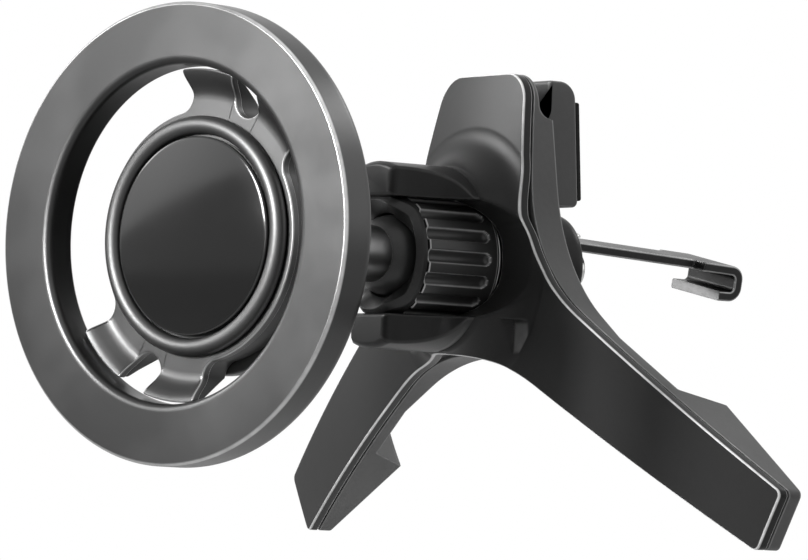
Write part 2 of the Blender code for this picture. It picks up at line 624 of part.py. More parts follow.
def build_cover(outline):
    """Make the front cover: the flared face of the legs and fin, and the two arms that hold the socket."""
    edge = BARREL_FRONT - BARREL_EDGE_ROUND
    profile = [(BARREL_BORE_R, BARREL_FRONT)]
    profile += arc(BARREL_R - BARREL_EDGE_ROUND, edge, BARREL_EDGE_ROUND, 90, 0, EDGE_STEPS)
    profile += arc(FLARE_END_R, FLARE_TOP, FLARE_R, 180, 270)
    profile += face_profile(FLARE_END_R, 0.0)[1:]
    profile += list(reversed(face_profile(BARREL_R, -COVER_DEPTH)))
    profile += [(BARREL_BORE_R, COVER_BACK)]
    cover = turned("front_cover", profile, BODY_STEPS, SHELL_BLACK, BODY_AXIS)
    combine(cover, plate("cover_outline", outline, THROUGH, None, BODY_AXIS), "INTERSECT")

    far = BARREL_R + OVERCUT
    over = BARREL_FRONT + OVERCUT
    flank = rounded([(ARM_HALF_WIDTH - ARM_CHAMFER, over, 0.0),
                     (ARM_HALF_WIDTH - ARM_CHAMFER, BARREL_FRONT, 0.0),
                     (ARM_HALF_WIDTH, BARREL_FRONT - ARM_CHAMFER, 0.0),
                     (ARM_HALF_WIDTH, FLARE_TOP, ARM_FLANK_R), (far, FLARE_TOP, 0.0), (far, over, 0.0)])
    for side in (-1.0, 1.0):
        loop = [(side * across, forward) for across, forward in flank]
        combine(cover, plate(f"arm_flank_cut_{side:+.0f}", loop, THROUGH, None, BODY_AXIS, PLANWISE))
    for side, place in enumerate(ear_places()):
        combine(cover, plate(f"ear_slot_{side}", ear_outline(GAP), SOCKET_EAR_DEPTH + 2.0 * GAP, None,
                             BODY_AXIS, *place))

    back = WHEEL_BACK - GAP
    front = BARREL_FRONT + OVERCUT
    window = rounded([(front, -WINDOW_HALF_HEIGHT, 0.0), (front, WINDOW_HALF_HEIGHT, 0.0),
                      (back, WINDOW_HALF_HEIGHT, WINDOW_CORNER), (back, -WINDOW_HALF_HEIGHT, WINDOW_CORNER)])
    combine(cover, plate("window_cut", window, THROUGH, None, BODY_AXIS, SIDEWAYS))

    wide = POCKET_WIDTH / 2.0
    high = POCKET_HEIGHT / 2.0
    pocket = [(-wide, -high), (wide, -high), (wide, high), (-wide, high)]
    floor = COVER_BACK + POCKET_FLOOR
    tall = BARREL_FRONT - floor
    for side in (-1.0, 1.0):
        combine(cover, plate(f"pocket_cut_{side:+.0f}", pocket, tall, None, BODY_AXIS,
                             location=(side * POCKET_ACROSS, POCKET_UP, floor + tall / 2.0)))
    for index, place in enumerate(screw_places()):
        combine(cover, rod_cutter(f"pilot_cut_{index}", SCREW_R + GAP, COVER_BACK - OVERCUT,
                                  screw_end() + GAP, SMALL_STEPS, BODY_AXIS, place))


def screw_places():
    """Return where the cover screws stand."""
    return [(SCREW_CIRCLE_R * math.cos(angle), SCREW_CIRCLE_R * math.sin(angle), 0.0)
            for angle in SCREW_ANGLES]


def screw_seat():
    """Return the station of the underside of the screw heads."""
    return LEG_BACK + SCREW_HEAD_DEPTH + GAP


def screw_end():
    """Return the station of the screw tips."""
    return screw_seat() + SCREW_LENGTH


def build_shell(outline):
    """Make the rear shell: leg walls, wedge feet, the block behind the fin and the hub for the sleeve."""
    deep = BARREL_FRONT
    shell = plate("rear_shell", outline, deep, SHELL_GREY, BODY_AXIS,
                  location=(0.0, 0.0, FOOT_BACK + deep / 2.0))
    below = FOOT_BACK - OVERCUT
    form = [(0.0, SHELL_FRONT), (BARREL_R, SHELL_FRONT)]
    form += face_profile(BARREL_R, -COVER_DEPTH - GAP)[1:]
    form += [(FACE_REACH, below), (0.0, below)]
    combine(shell, turned("shell_front_form", form, BODY_STEPS, None, BODY_AXIS), "INTERSECT")

    slant = SHOULDER_RUN / (SHOULDER_BACK - FOOT_BACK)
    clear = SHOULDER_REACH + slant * (SHOULDER_BACK - below)
    hollow = [(0.0, LEG_BACK), (LEG_BEND_REACH, LEG_BACK), (SHOULDER_REACH, SHOULDER_BACK),
              (clear, below), (0.0, below)]
    combine(shell, turned("leg_back_form", hollow, BODY_STEPS, None, BODY_AXIS))

    root = LEG_BACK + GAP
    block = rounded([(root, BLOCK_BOTTOM, 0.0), (root, BLOCK_TOP, 0.0),
                     (PAD_SEAT + BLOCK_LEAN, BLOCK_TOP, BLOCK_CORNER), (PAD_SEAT, BLOCK_BOTTOM, 0.0)])
    width = 2.0 * BLOCK_HALF_WIDTH
    combine(shell, plate("top_block", block, width, None, BODY_AXIS, SIDEWAYS), "UNION")
    half = SLOT_WIDTH / 2.0
    over = FIN_TOP + OVERCUT
    slot = rounded([(SLOT_CENTRE - half, over, 0.0), (SLOT_CENTRE - half, SLOT_BOTTOM, SLOT_CORNER),
                    (SLOT_CENTRE + half, SLOT_BOTTOM, SLOT_CORNER), (SLOT_CENTRE + half, over, 0.0)])
    combine(shell, plate("slot_cut", slot, THROUGH, None, BODY_AXIS, SIDEWAYS))
    for side in (-1.0, 1.0):
        seat = plate(f"pad_seat_{side:+.0f}", foot_pad_outline(side, GAP), 2.0 * PAD_SEAT, None, BODY_AXIS)
        combine(shell, seat)

    combine(shell, rod_cutter("sleeve_bore", SLEEVE_R + RUNNING_GAP, below, SHELL_FRONT + OVERCUT,
                              ROUND_STEPS, BODY_AXIS))
    for index, place in enumerate(screw_places()):
        seat = screw_seat() + GAP
        combine(shell, rod_cutter(f"head_cut_{index}", SCREW_HEAD_R + GAP, below, seat, SMALL_STEPS,
                                  BODY_AXIS, place))
        combine(shell, rod_cutter(f"shank_cut_{index}", SCREW_R + GAP, below, SHELL_FRONT + OVERCUT,
                                  SMALL_STEPS, BODY_AXIS, place))
        head_back = LEG_BACK + GAP
        screw = [(0.0, screw_end()), (SCREW_R, screw_end()), (SCREW_R, screw_seat()),
                 (SCREW_HEAD_R, screw_seat()), (SCREW_HEAD_R, head_back), (0.0, head_back)]
        turned(f"shell_screw_{index + 1}", screw, SMALL_STEPS, STEEL, BODY_AXIS, location=place)


def foot_pad_outline(side, clearance):
    """Return the outline of a leg's pad, or of the recess that it sits in."""
    inner = SHOULDER_REACH + SHOULDER_RUN + PAD_SIDE_MARGIN - clearance
    outer = LEG_REACH - PAD_SIDE_MARGIN + clearance
    half = LEG_TIP_HALF_WIDTH - PAD_SIDE_MARGIN + clearance
    corners = [leg_point(inner, half), leg_point(outer, half), leg_point(outer, -half),
               leg_point(inner, -half)]
    return rounded([(side * across, up, PAD_CORNER) for across, up in corners])


def block_lean(up):
    """Return how far the back of the top block leans forward at a height."""
    return BLOCK_LEAN * (up - BLOCK_BOTTOM) / (BLOCK_TOP - BLOCK_BOTTOM)


def build_pads():
    """Make the rubber pads: one set into each foot, and one on the back of the top block."""
    middle = (0.0, 0.0, PAD_DEPTH / 2.0)
    for name, side in (("foot_pad_left", -1.0), ("foot_pad_right", 1.0)):
        plate(name, foot_pad_outline(side, 0.0), PAD_DEPTH, RUBBER, BODY_AXIS, location=middle)
    low = BLOCK_BOTTOM + PAD_SIDE_MARGIN
    high = BLOCK_TOP - BLOCK_CORNER
    strip = [(block_lean(low), low), (PAD_DEPTH + block_lean(low), low),
             (PAD_DEPTH + block_lean(high), high), (block_lean(high), high)]
    width = 2.0 * (BLOCK_HALF_WIDTH - PAD_SIDE_MARGIN)
    plate("foot_pad_top", strip, width, RUBBER, BODY_AXIS, SIDEWAYS)


def build_hook():
    """Make the guide boss, the threaded rod, the hook strip and the rivet that joins the two."""
    front = LEG_BACK - GAP
    inner = BOSS_R - BOSS_WALL
    boss = [(inner, front), (BOSS_R, front)]
    boss += arc(BOSS_R - BOSS_ROUND, BOSS_BACK + BOSS_ROUND, BOSS_ROUND, 0, -90, EDGE_STEPS)
    boss += [(inner, BOSS_BACK)]
    turned("hook_guide", boss, BODY_STEPS // 2, SHELL_BLACK, BODY_AXIS)

    rod = turned("hook_rod", [(0.0, ROD_FRONT), (ROD_R, ROD_FRONT), (ROD_R, HOOK_START),
                              (ROD_TAIL_R, HOOK_START), (ROD_TAIL_R, ROD_TAIL_BACK), (0.0, ROD_TAIL_BACK)],
                 ROUND_STEPS, STEEL, BODY_AXIS)
    under = ROD_TAIL_R + GAP
    drop = math.tan(HOOK_SLOPE)
    end = under + HOOK_THICKNESS - drop * (HOOK_START + HOOK_REACH)
    bend = HOOK_BEND_R - HOOK_THICKNESS
    side = rounded([(HOOK_START, under, 0.0), (HOOK_START, under + HOOK_THICKNESS, 0.0),
                    (-HOOK_REACH, end, HOOK_BEND_R), (-HOOK_REACH, end - HOOK_HEIGHT, HOOK_BEND_R),
                    (HOOK_LIP - HOOK_REACH, end - HOOK_HEIGHT, 0.0),
                    (HOOK_LIP - HOOK_REACH, end - HOOK_HEIGHT + HOOK_THICKNESS, 0.0),
                    (HOOK_THICKNESS - HOOK_REACH, end - HOOK_HEIGHT + HOOK_THICKNESS, bend),
                    (HOOK_THICKNESS - HOOK_REACH, end - HOOK_THICKNESS + drop * HOOK_THICKNESS, bend)])
    hook = plate("hook", side, HOOK_END_WIDTH, HOOK_GREY, BODY_AXIS, rolled(SIDEWAYS))
    bar = HOOK_BAR_WIDTH / 2.0
    wide = HOOK_END_WIDTH / 2.0 + OVERCUT
    step = HOOK_END_RUN - HOOK_REACH
    tail = -HOOK_REACH - OVERCUT
    head = HOOK_START + OVERCUT
    plan = rounded([(-bar, head, 0.0), (-bar, step, bend), (-wide, step, 0.0), (-wide, tail, 0.0),
                    (wide, tail, 0.0), (wide, step, 0.0), (bar, step, bend), (bar, head, 0.0)])
    combine(hook, plate("hook_plan", plan, THROUGH, None, BODY_AXIS, rolled(PLANWISE)), "INTERSECT")

    station = (HOOK_START + ROD_TAIL_BACK) / 2.0
    seat = under + HOOK_THICKNESS + GAP
    foot = ROD_TAIL_R - RIVET_DEPTH
    hole = [(0.0, seat + OVERCUT), (RIVET_R + GAP, seat + OVERCUT), (RIVET_R + GAP, foot - GAP),
            (0.0, foot - GAP)]
    place = (rolled(UPWARD), (0.0, 0.0, station))
    rivet_hole = turned("rivet_cut", hole, SMALL_STEPS, None, BODY_AXIS, *place)
    combine(hook, rivet_hole)
    combine(rod, rivet_hole)
    crown = seat + RIVET_HEAD_DEPTH
    turned("hook_rivet", [(0.0, crown), (RIVET_HEAD_R, crown), (RIVET_HEAD_R, seat), (RIVET_R, seat),
                          (RIVET_R, foot), (0.0, foot)], SMALL_STEPS, STEEL, BODY_AXIS, *place)


def main():
    """Build every piece."""
    outline = body_outline()
    build_ring()
    build_hub()
    build_stem()
    build_socket()
    build_wheel()
    build_cover(outline)
    build_shell(outline)
    build_pads()
    build_hook()


main()
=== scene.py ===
"""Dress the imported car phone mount: ring head on a stem, three-legged body, thumbwheel and hook.

Every shape is a grid of points worked out with numpy in millimetres, in a frame of
(across, up, forward), and is then set into the row frame in metres.
"""
import logging
import math
from dataclasses import dataclass
from enum import Enum
from typing import Callable, Sequence

import bmesh
import bpy
import numpy as np
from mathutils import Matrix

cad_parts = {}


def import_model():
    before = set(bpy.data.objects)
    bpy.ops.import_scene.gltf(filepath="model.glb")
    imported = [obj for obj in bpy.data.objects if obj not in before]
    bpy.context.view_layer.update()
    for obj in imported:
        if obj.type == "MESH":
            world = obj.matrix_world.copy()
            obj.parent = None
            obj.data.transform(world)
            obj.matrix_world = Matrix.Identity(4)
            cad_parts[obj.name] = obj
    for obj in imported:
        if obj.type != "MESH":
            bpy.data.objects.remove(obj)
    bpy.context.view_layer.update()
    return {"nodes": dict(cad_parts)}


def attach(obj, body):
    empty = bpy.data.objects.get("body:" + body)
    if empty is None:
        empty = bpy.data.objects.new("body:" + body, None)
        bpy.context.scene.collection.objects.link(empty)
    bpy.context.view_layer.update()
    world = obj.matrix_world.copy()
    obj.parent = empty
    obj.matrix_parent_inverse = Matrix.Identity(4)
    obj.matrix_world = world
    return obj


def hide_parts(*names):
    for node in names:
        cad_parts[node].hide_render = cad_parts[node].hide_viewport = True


LOG = logging.getLogger("phone_mount")
MM = 0.001
MERGE_DISTANCE = 1.0e-6
TINY = 1.0e-9
ROUNDING_LIMIT = 0.46
EDGE_SIZE = 0.6
EDGE_CUTS = 4
ROLL_CUTS = 9
IMAGE_WIDTH = 808
BALL_FORWARD = 26.055
HEAD_PAN = math.radians(16.0)
HOOK_ROLL = math.radians(-10.0)

Height = Callable[[np.ndarray, np.ndarray], np.ndarray]


class Body(Enum):
    """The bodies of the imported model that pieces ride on."""

    BASE = "base"
    BALL = "ball"
    STEM = "stem"
    HEAD = "head"
    WHEEL = "thumbwheel"
    HOOK = "hook"


class Band(Enum):
    """How the mark of an edge runs across its rounding."""

    CREST = "crest"
    RISE = "rise"
    FALL = "fall"
    NONE = "none"


@dataclass(frozen=True)
class Axis:
    """A forward axis, turned about the vertical, that carries local points.

    Attributes:
        pan: turn about the vertical, in radians.
        start: how far forward of the row's origin the axis starts, in millimetres.
        roll: turn about the forward axis, in radians.
    """

    pan: float = 0.0
    start: float = 0.0
    roll: float = 0.0

    def world(self, local: np.ndarray) -> np.ndarray:
        """Turn local points into the row frame.

        Args:
            local: points as (across, up, forward) in millimetres.

        Returns:
            The points as (x, y, z) in metres; forward is the row's -y.
        """
        cosine, sine = math.cos(self.roll), math.sin(self.roll)
        across = local[..., 0] * cosine - local[..., 1] * sine
        up = local[..., 0] * sine + local[..., 1] * cosine
        forward = local[..., 2]
        cosine, sine = math.cos(self.pan), math.sin(self.pan)
        x = across * cosine + forward * sine
        y = across * sine - forward * cosine - self.start
        return np.stack((x, y, up), axis=-1) * MM


BODY_AXIS = Axis()
HEAD_AXIS = Axis(HEAD_PAN, BALL_FORWARD)
HOOK_AXIS = Axis(roll=HOOK_ROLL)


@dataclass
class Station:
    """One row of a loft.

    Attributes:
        points: the row's points, (columns, 3) in millimetres.
        size: length of the rounding on each side of the row, in millimetres.
        band: how the edge mark runs across the rounding.
        cuts: how many steps the rounding has.
    """

    points: np.ndarray
    size: float = 0.0
    band: Band = Band.CREST
    cuts: int = EDGE_CUTS


@dataclass
class Sheet:
    """A grid of points with a mark that is 1 on edges, where the finish paints wear and a bright highlight.
    """

    points: np.ndarray
    edge: np.ndarray

    def turned(self) -> "Sheet":
        """Return the sheet with its rows and columns exchanged."""
        return Sheet(self.points.swapaxes(0, 1), self.edge.swapaxes(0, 1))


def band_value(band: Band, share: float) -> float:
    """Return the edge mark at a share of a rounding."""
    if band is Band.CREST:
        return min(1.0, 6.0 * share * (1.0 - share))
    if band is Band.RISE:
        return share
    return 1.0 - share if band is Band.FALL else 0.0


def loft(stations: Sequence[Station], closed: bool = False) -> Sheet:
    """Carry rows into a grid and round them.

    A row with a size becomes a quadratic curve: it leaves the line to the row before at
    that distance, bends round the row's own point, and joins the line to the row after.

    Args:
        stations: the rows in order.
        closed: whether the last row joins the first.

    Returns:
        The sheet of all rows.
    """
    rows, marks = [], []
    last = len(stations) - 1
    for index, station in enumerate(stations):
        corner = station.points
        if station.size <= 0.0 or (not closed and index in (0, last)):
            rows.append(corner)
            marks.append(np.zeros(len(corner)))
            continue
        before = stations[index - 1].points - corner
        after = stations[(index + 1) % len(stations)].points - corner
        length_before = np.linalg.norm(before, axis=1, keepdims=True).clip(TINY)
        length_after = np.linalg.norm(after, axis=1, keepdims=True).clip(TINY)
        start = corner + before / length_before * np.minimum(station.size, ROUNDING_LIMIT * length_before)
        end = corner + after / length_after * np.minimum(station.size, ROUNDING_LIMIT * length_after)
        for share in np.linspace(0.0, 1.0, station.cuts + 1):
            rest = 1.0 - share
            rows.append(rest * rest * start + 2.0 * share * rest * corner + share * share * end)
            marks.append(np.full(len(corner), band_value(station.band, share)))
    return Sheet(np.array(rows), np.array(marks))


def circle(radius: np.ndarray, forward: np.ndarray, angles: np.ndarray) -> np.ndarray:
    """Return a row of points round the forward axis: radius times (cos, sin), at a station."""
    forward = np.broadcast_to(forward, angles.shape)
    return np.stack((radius * np.cos(angles), radius * np.sin(angles), forward), axis=-1)


def ring_angles(count: int) -> np.ndarray:
    """Return evenly spaced angles once round the axis."""
    return np.arange(count) * (2.0 * math.pi / count)


def lathe(profile: Sequence[tuple], count: int, closed: bool) -> Sheet:
    """Turn a profile about the forward axis: each profile point becomes a circle.

    Args:
        profile: (radius, forward, rounding, band) points, the last two optional.
        count: columns round the axis.
        closed: whether the profile closes on itself.

    Returns:
        The turned sheet.
    """
    angles = ring_angles(count)
    stations = []
    for radius, forward, *rest in profile:
        size = rest[0] if rest else 0.0
        is_edge = size < EDGE_SIZE
        band = rest[1] if len(rest) > 1 else (Band.CREST if is_edge else Band.NONE)
        cuts = EDGE_CUTS if is_edge else ROLL_CUTS
        stations.append(Station(circle(radius, forward, angles), size, band, cuts))
    return loft(stations, closed)


def arc(centre_r: float, centre_f: float, radius: float, start: float, end: float, steps: int) -> list:
    """Return profile points on an arc between two angles, in degrees."""
    angles = np.radians(np.linspace(start, end, steps + 1))
    return list(zip(centre_r + radius * np.cos(angles), centre_f + radius * np.sin(angles)))


def resample(points: np.ndarray, count: int, blur: int = 0) -> np.ndarray:
    """Space points evenly along a closed line, and soften its corners.

    Args:
        points: the line's corners, (n, 2).
        count: how many points to return.
        blur: how many neighbours on each side are averaged into a point.

    Returns:
        The evenly spaced points, (count, 2).
    """
    ring = np.vstack((points, points[:1]))
    along = np.concatenate(([0.0], np.cumsum(np.linalg.norm(np.diff(ring, axis=0), axis=1))))
    places = np.linspace(0.0, along[-1], count, endpoint=False)
    spaced = np.stack([np.interp(places, along, ring[:, axis]) for axis in (0, 1)], axis=-1)
    if blur:
        spaced = np.mean([np.roll(spaced, shift, axis=0) for shift in range(-blur, blur + 1)], axis=0)
    return spaced


def inset(points: np.ndarray, distance: float) -> np.ndarray:
    """Move a closed counter-clockwise line inwards along its normals."""
    tangent = np.roll(points, -1, axis=0) - np.roll(points, 1, axis=0)
    tangent /= np.linalg.norm(tangent, axis=1, keepdims=True).clip(TINY)
    return points + distance * np.stack((-tangent[:, 1], tangent[:, 0]), axis=-1)


def rounded(corners: Sequence[tuple], steps: int = 14) -> np.ndarray:
    """Return a line with an arc at each corner of (x, y, radius).

    The arc's centre lies on the corner's bisector at radius over the sine of the half angle.
    """
    places = np.array([corner[:2] for corner in corners], dtype=float)
    pieces = []
    for index, (x, y, radius) in enumerate(corners):
        here = np.array((x, y))
        before = places[index - 1] - here
        after = places[(index + 1) % len(corners)] - here
        to_before = math.atan2(before[1], before[0])
        turn = (math.atan2(after[1], after[0]) - to_before + math.pi) % (2.0 * math.pi) - math.pi
        if radius <= 0.0 or abs(abs(turn) - math.pi) < MERGE_DISTANCE:
            pieces.append(here[None])
            continue
        bisector = to_before + turn / 2.0
        towards = np.array((math.cos(bisector), math.sin(bisector)))
        centre = here + radius / math.sin(abs(turn) / 2.0) * towards
        sweep = math.copysign(math.pi - abs(turn), turn)
        angles = bisector + math.pi + sweep * np.linspace(0.5, -0.5, steps + 1)
        pieces.append(centre + radius * np.stack((np.cos(angles), np.sin(angles)), axis=-1))
    return np.vstack(pieces)


def smooth_min(first: np.ndarray, second: np.ndarray, width: float) -> np.ndarray:
    """Return the lower of two heights, blended over a width where they cross."""
    share = np.clip(0.5 + 0.5 * (second - first) / width, 0.0, 1.0)
    return second + (first - second) * share - width * share * (1.0 - share)


def smooth_step(value: np.ndarray, low: float, high: float) -> np.ndarray:
    """Return 0 below low and 1 above high, with a smooth cubic between."""
    share = np.clip((value - low) / (high - low), 0.0, 1.0)
    return share * share * (3.0 - 2.0 * share)


class NodeBench:
    """Places nodes in a node tree and links them."""

    def __init__(self, tree: bpy.types.NodeTree) -> None:
        """Keep the tree that nodes go into."""
        self.tree = tree

    def add(self, kind: str, **settings: object) -> bpy.types.Node:
        """Add a node and set its properties, or its inputs where the name isn't a property."""
        node = self.tree.nodes.new(kind)
        for name, value in settings.items():
            if hasattr(node, name):
                setattr(node, name, value)
            else:
                node.inputs[name.replace("_", " ")].default_value = value
        return node

    def link(self, source: bpy.types.NodeSocket, target: bpy.types.NodeSocket) -> None:
        """Join an output to an input."""
        self.tree.links.new(source, target)

    def math(self, operation: str, first: object, second: object = 0.0) -> bpy.types.NodeSocket:
        """Add a sum of two values or sockets and return its output."""
        node = self.add("ShaderNodeMath", operation=operation)
        for socket, value in zip(node.inputs, (first, second)):
            if isinstance(value, bpy.types.NodeSocket):
                self.link(value, socket)
            else:
                socket.default_value = value
        return node.outputs[0]


class Effects:
    """The node groups that several finishes share."""

    def __init__(self) -> None:
        """Build each group once."""
        self.wear_and_highlight = self.edge_wear_and_highlight()
        self.grain = self.surface_grain()
        self.handling = self.handling_marks()

    @staticmethod
    def group(name: str, inputs: dict, outputs: Sequence[str]) -> NodeBench:
        """Start a group with float sockets.

        Args:
            name: the group's name.
            inputs: socket name to default value.
            outputs: names of the values it puts out.

        Returns:
            A bench on the group's tree, which has its group input and output nodes.
        """
        tree = bpy.data.node_groups.new(name, "ShaderNodeTree")
        for label, value in inputs.items():
            socket = tree.interface.new_socket(name=label, in_out="INPUT", socket_type="NodeSocketFloat")
            socket.default_value = value
        for label in outputs:
            tree.interface.new_socket(name=label, in_out="OUTPUT", socket_type="NodeSocketFloat")
        bench = NodeBench(tree)
        bench.add("NodeGroupInput", name="in")
        bench.add("NodeGroupOutput", name="out")
        return bench

    def noise(self, bench: NodeBench, scale: bpy.types.NodeSocket, detail: float) -> bpy.types.NodeSocket:
        """Return noise on the piece's own coordinates at a scale per metre."""
        place = bench.add("ShaderNodeTexCoord")
        noise = bench.add("ShaderNodeTexNoise", Detail=detail, Roughness=0.6)
        bench.link(place.outputs["Object"], noise.inputs["Vector"])
        bench.link(scale, noise.inputs["Scale"])
        return noise.outputs["Fac"]

    def edge_wear_and_highlight(self) -> bpy.types.NodeTree:
        """Build the edge mask: the edge mark of the mesh, broken up by noise, for painted wear and a painted
        highlight along edges.
        """
        bench = self.group("edge_wear_and_highlight", {"Scale": 400.0, "Strength": 0.6}, ["Mask"])
        sockets = bench.tree.nodes["in"].outputs
        mark = bench.add("ShaderNodeAttribute", attribute_name="edge")
        noise = self.noise(bench, sockets["Scale"], 3.0)
        broken = bench.math("ADD", bench.math("MULTIPLY", noise, 0.9), 0.45)
        # Worn and highlighted alike: this mask paints edges lighter, as wear and as a painted highlight.
        worn_and_highlight = bench.math("MULTIPLY", mark.outputs["Fac"], broken)
        mask = bench.math("MULTIPLY", worn_and_highlight, sockets["Strength"])
        limit = bench.add("ShaderNodeClamp")
        bench.link(mask, limit.inputs["Value"])
        bench.link(limit.outputs[0], bench.tree.nodes["out"].inputs["Mask"])
        return bench.tree

    def surface_grain(self) -> bpy.types.NodeTree:
        """Build the grain: fine noise for the height and for a faint mottle of the colour."""
        bench = self.group("surface_grain", {"Scale": 9000.0}, ["Height", "Mottle"])
        sockets = bench.tree.nodes["in"].outputs
        fine = self.noise(bench, sockets["Scale"], 4.0)
        broad = self.noise(bench, bench.math("MULTIPLY", sockets["Scale"], 0.17), 3.0)
        ends = bench.tree.nodes["out"].inputs
        bench.link(fine, ends["Height"])
        both = bench.math("ADD", bench.math("MULTIPLY", fine, 0.5), bench.math("MULTIPLY", broad, 0.5))
        bench.link(both, ends["Mottle"])
        return bench.tree

    def handling_marks(self) -> bpy.types.NodeTree:
        """Build the marks of handling: broad soft noise, sharpened into faint smudges."""
        bench = self.group("handling_marks", {"Scale": 60.0}, ["Smudge"])
        noise = self.noise(bench, bench.tree.nodes["in"].outputs["Scale"], 5.0)
        ramp = bench.add("ShaderNodeMapRange", From_Min=0.4, From_Max=0.65)
        bench.link(noise, ramp.inputs["Value"])
        bench.link(ramp.outputs["Result"], bench.tree.nodes["out"].inputs["Smudge"])
        return bench.tree


@dataclass(frozen=True)
class Finish:
    """A finish with grain, edges painted lighter for wear and a highlight, and marks of handling.

    Attributes:
        name: the material's name.
        base: linear colour of the surface.
        worn_and_highlight: linear colour of the edges, for wear and a painted highlight.
        wear_and_highlight: how much of that edge colour the edges show.
        metallic: whether it is bare or lacquered metal.
        roughness: lowest and highest roughness.
        specular: level of the reflection of plastics.
        grain: scale of the grain per metre.
        depth: height of the grain, in millimetres.
        mottle: how far the grain changes the colour.
    """

    name: str
    base: tuple
    worn_and_highlight: tuple
    wear_and_highlight: float = 0.5
    metallic: float = 0.0
    roughness: tuple = (0.35, 0.5)
    specular: float = 0.3
    grain: float = 9000.0
    depth: float = 0.01
    mottle: float = 0.2

    def build(self, effects: Effects) -> bpy.types.Material:
        """Make the material.

        Args:
            effects: the shared node groups.

        Returns:
            The material with its nodes.
        """
        material = bpy.data.materials.new(self.name)
        material.use_nodes = True
        bench = NodeBench(material.node_tree)
        shader = material.node_tree.nodes["Principled BSDF"]
        shader.inputs["Metallic"].default_value = self.metallic
        shader.inputs["Specular IOR Level"].default_value = self.specular
        grain = bench.add("ShaderNodeGroup", node_tree=effects.grain, Scale=self.grain)
        wear_and_highlight = bench.add("ShaderNodeGroup", node_tree=effects.wear_and_highlight, Strength=self.wear_and_highlight)
        marks = bench.add("ShaderNodeGroup", node_tree=effects.handling)

        tone = bench.add("ShaderNodeMapRange", To_Min=1.0 - self.mottle, To_Max=1.0 + self.mottle)
        bench.link(grain.outputs["Mottle"], tone.inputs["Value"])
        toned = bench.add("ShaderNodeMix", data_type="RGBA", blend_type="MULTIPLY")
        toned.inputs[0].default_value = 1.0
        toned.inputs[6].default_value = (*self.base, 1.0)
        bench.link(tone.outputs["Result"], toned.inputs[7])
        # The edge colour is mixed in by the mask: painted wear and a painted highlight along edges.
        mixed = bench.add("ShaderNodeMix", data_type="RGBA")
        bench.link(wear_and_highlight.outputs["Mask"], mixed.inputs[0])
        bench.link(toned.outputs[2], mixed.inputs[6])
        mixed.inputs[7].default_value = (*self.worn_and_highlight, 1.0)
        bench.link(mixed.outputs[2], shader.inputs["Base Color"])

        rough = bench.add("ShaderNodeMapRange", To_Min=self.roughness[0], To_Max=self.roughness[1])
        bench.link(marks.outputs["Smudge"], rough.inputs["Value"])
        bench.link(rough.outputs["Result"], shader.inputs["Roughness"])
        bump = bench.add("ShaderNodeBump", Strength=1.0, Distance=self.depth * MM)
        bench.link(grain.outputs["Height"], bump.inputs["Height"])
        bench.link(bump.outputs["Normal"], shader.inputs["Normal"])
        return material


def grey(value: float) -> tuple:
    """Return a neutral linear colour."""
    return (value, value, value)


# Each worn colour paints the edges lighter: some wear, and mostly a painted highlight along edges and
# chamfers.
FINISHES = {
    "gunmetal": Finish("gunmetal_satin", grey(0.05), grey(0.55), 0.9, 1.0, (0.30, 0.38),
                       grain=7000.0, depth=0.004, mottle=0.05),
    # The stem's gunmetal with a lighter base: painted light, brighter than the ring's gunmetal where the stem
    # sits in shade.
    "stem_painted_light": Finish("stem_gunmetal_painted_light", grey(0.2), grey(0.6), 0.6, 1.0, (0.26, 0.34),
                        grain=7000.0, depth=0.003, mottle=0.05),
    "dark_plate": Finish("back_plate_black", grey(0.022), grey(0.08), 0.4),
    "hub_grey": Finish("hub_lacquer", grey(0.055), grey(0.5), 0.8, 1.0, (0.34, 0.44),
                       depth=0.004, mottle=0.08),
    "bezel_black": Finish("bezel_lacquer", grey(0.06), grey(0.12), 0.4, 1.0, (0.42, 0.48), depth=0.003),
    "gloss_black": Finish("dome_gloss", grey(0.004), grey(0.05), 0.3, 0.0, (0.1, 0.14), specular=0.2,
                          grain=600.0, depth=0.0005, mottle=0.1),
    "bright_steel": Finish("steel_bright", (0.46, 0.46, 0.45), grey(0.7), 0.5, 1.0, (0.25, 0.36),
                           depth=0.004, mottle=0.08),
    # The cover's bright worn colour paints highlight lines along its edges and chamfers.
    "shell_black": Finish("cover_satin_black", grey(0.016), grey(0.6), 0.9, 0.0, (0.28, 0.34),
                          specular=0.1, grain=11000.0, depth=0.006),
    # The cover's black plastic with its painted edge highlight turned down, for the arms and the collar.
    "arm_black": Finish("arm_satin_black", grey(0.017), grey(0.05), 0.6, 0.0, (0.3, 0.36),
                        specular=0.12, grain=11000.0, depth=0.006),
    "shell_grey": Finish("shell_moulded_grey", grey(0.06), grey(0.25), 0.5, 0.0, (0.42, 0.55), specular=0.25),
    # The wheel's bright worn colour paints highlight lines along the flutes' edges.
    "wheel_black": Finish("wheel_moulded_black", grey(0.024), grey(0.5), 0.9, 0.0, (0.3, 0.4),
                          grain=11000.0, depth=0.005),
    "hook_grey": Finish("hook_plated", grey(0.03), grey(0.3), 0.8, 1.0, (0.34, 0.46),
                        depth=0.006, mottle=0.12),
    "rubber": Finish("pad_rubber", grey(0.009), grey(0.03), 0.3, 0.0, (0.7, 0.85), specular=0.2,
                     grain=5000.0, depth=0.03, mottle=0.3),
    "magnet_nickel": Finish("magnet_nickel", (0.55, 0.53, 0.49), grey(0.7), 0.4, 1.0, (0.2, 0.3),
                            depth=0.003, mottle=0.06),
}


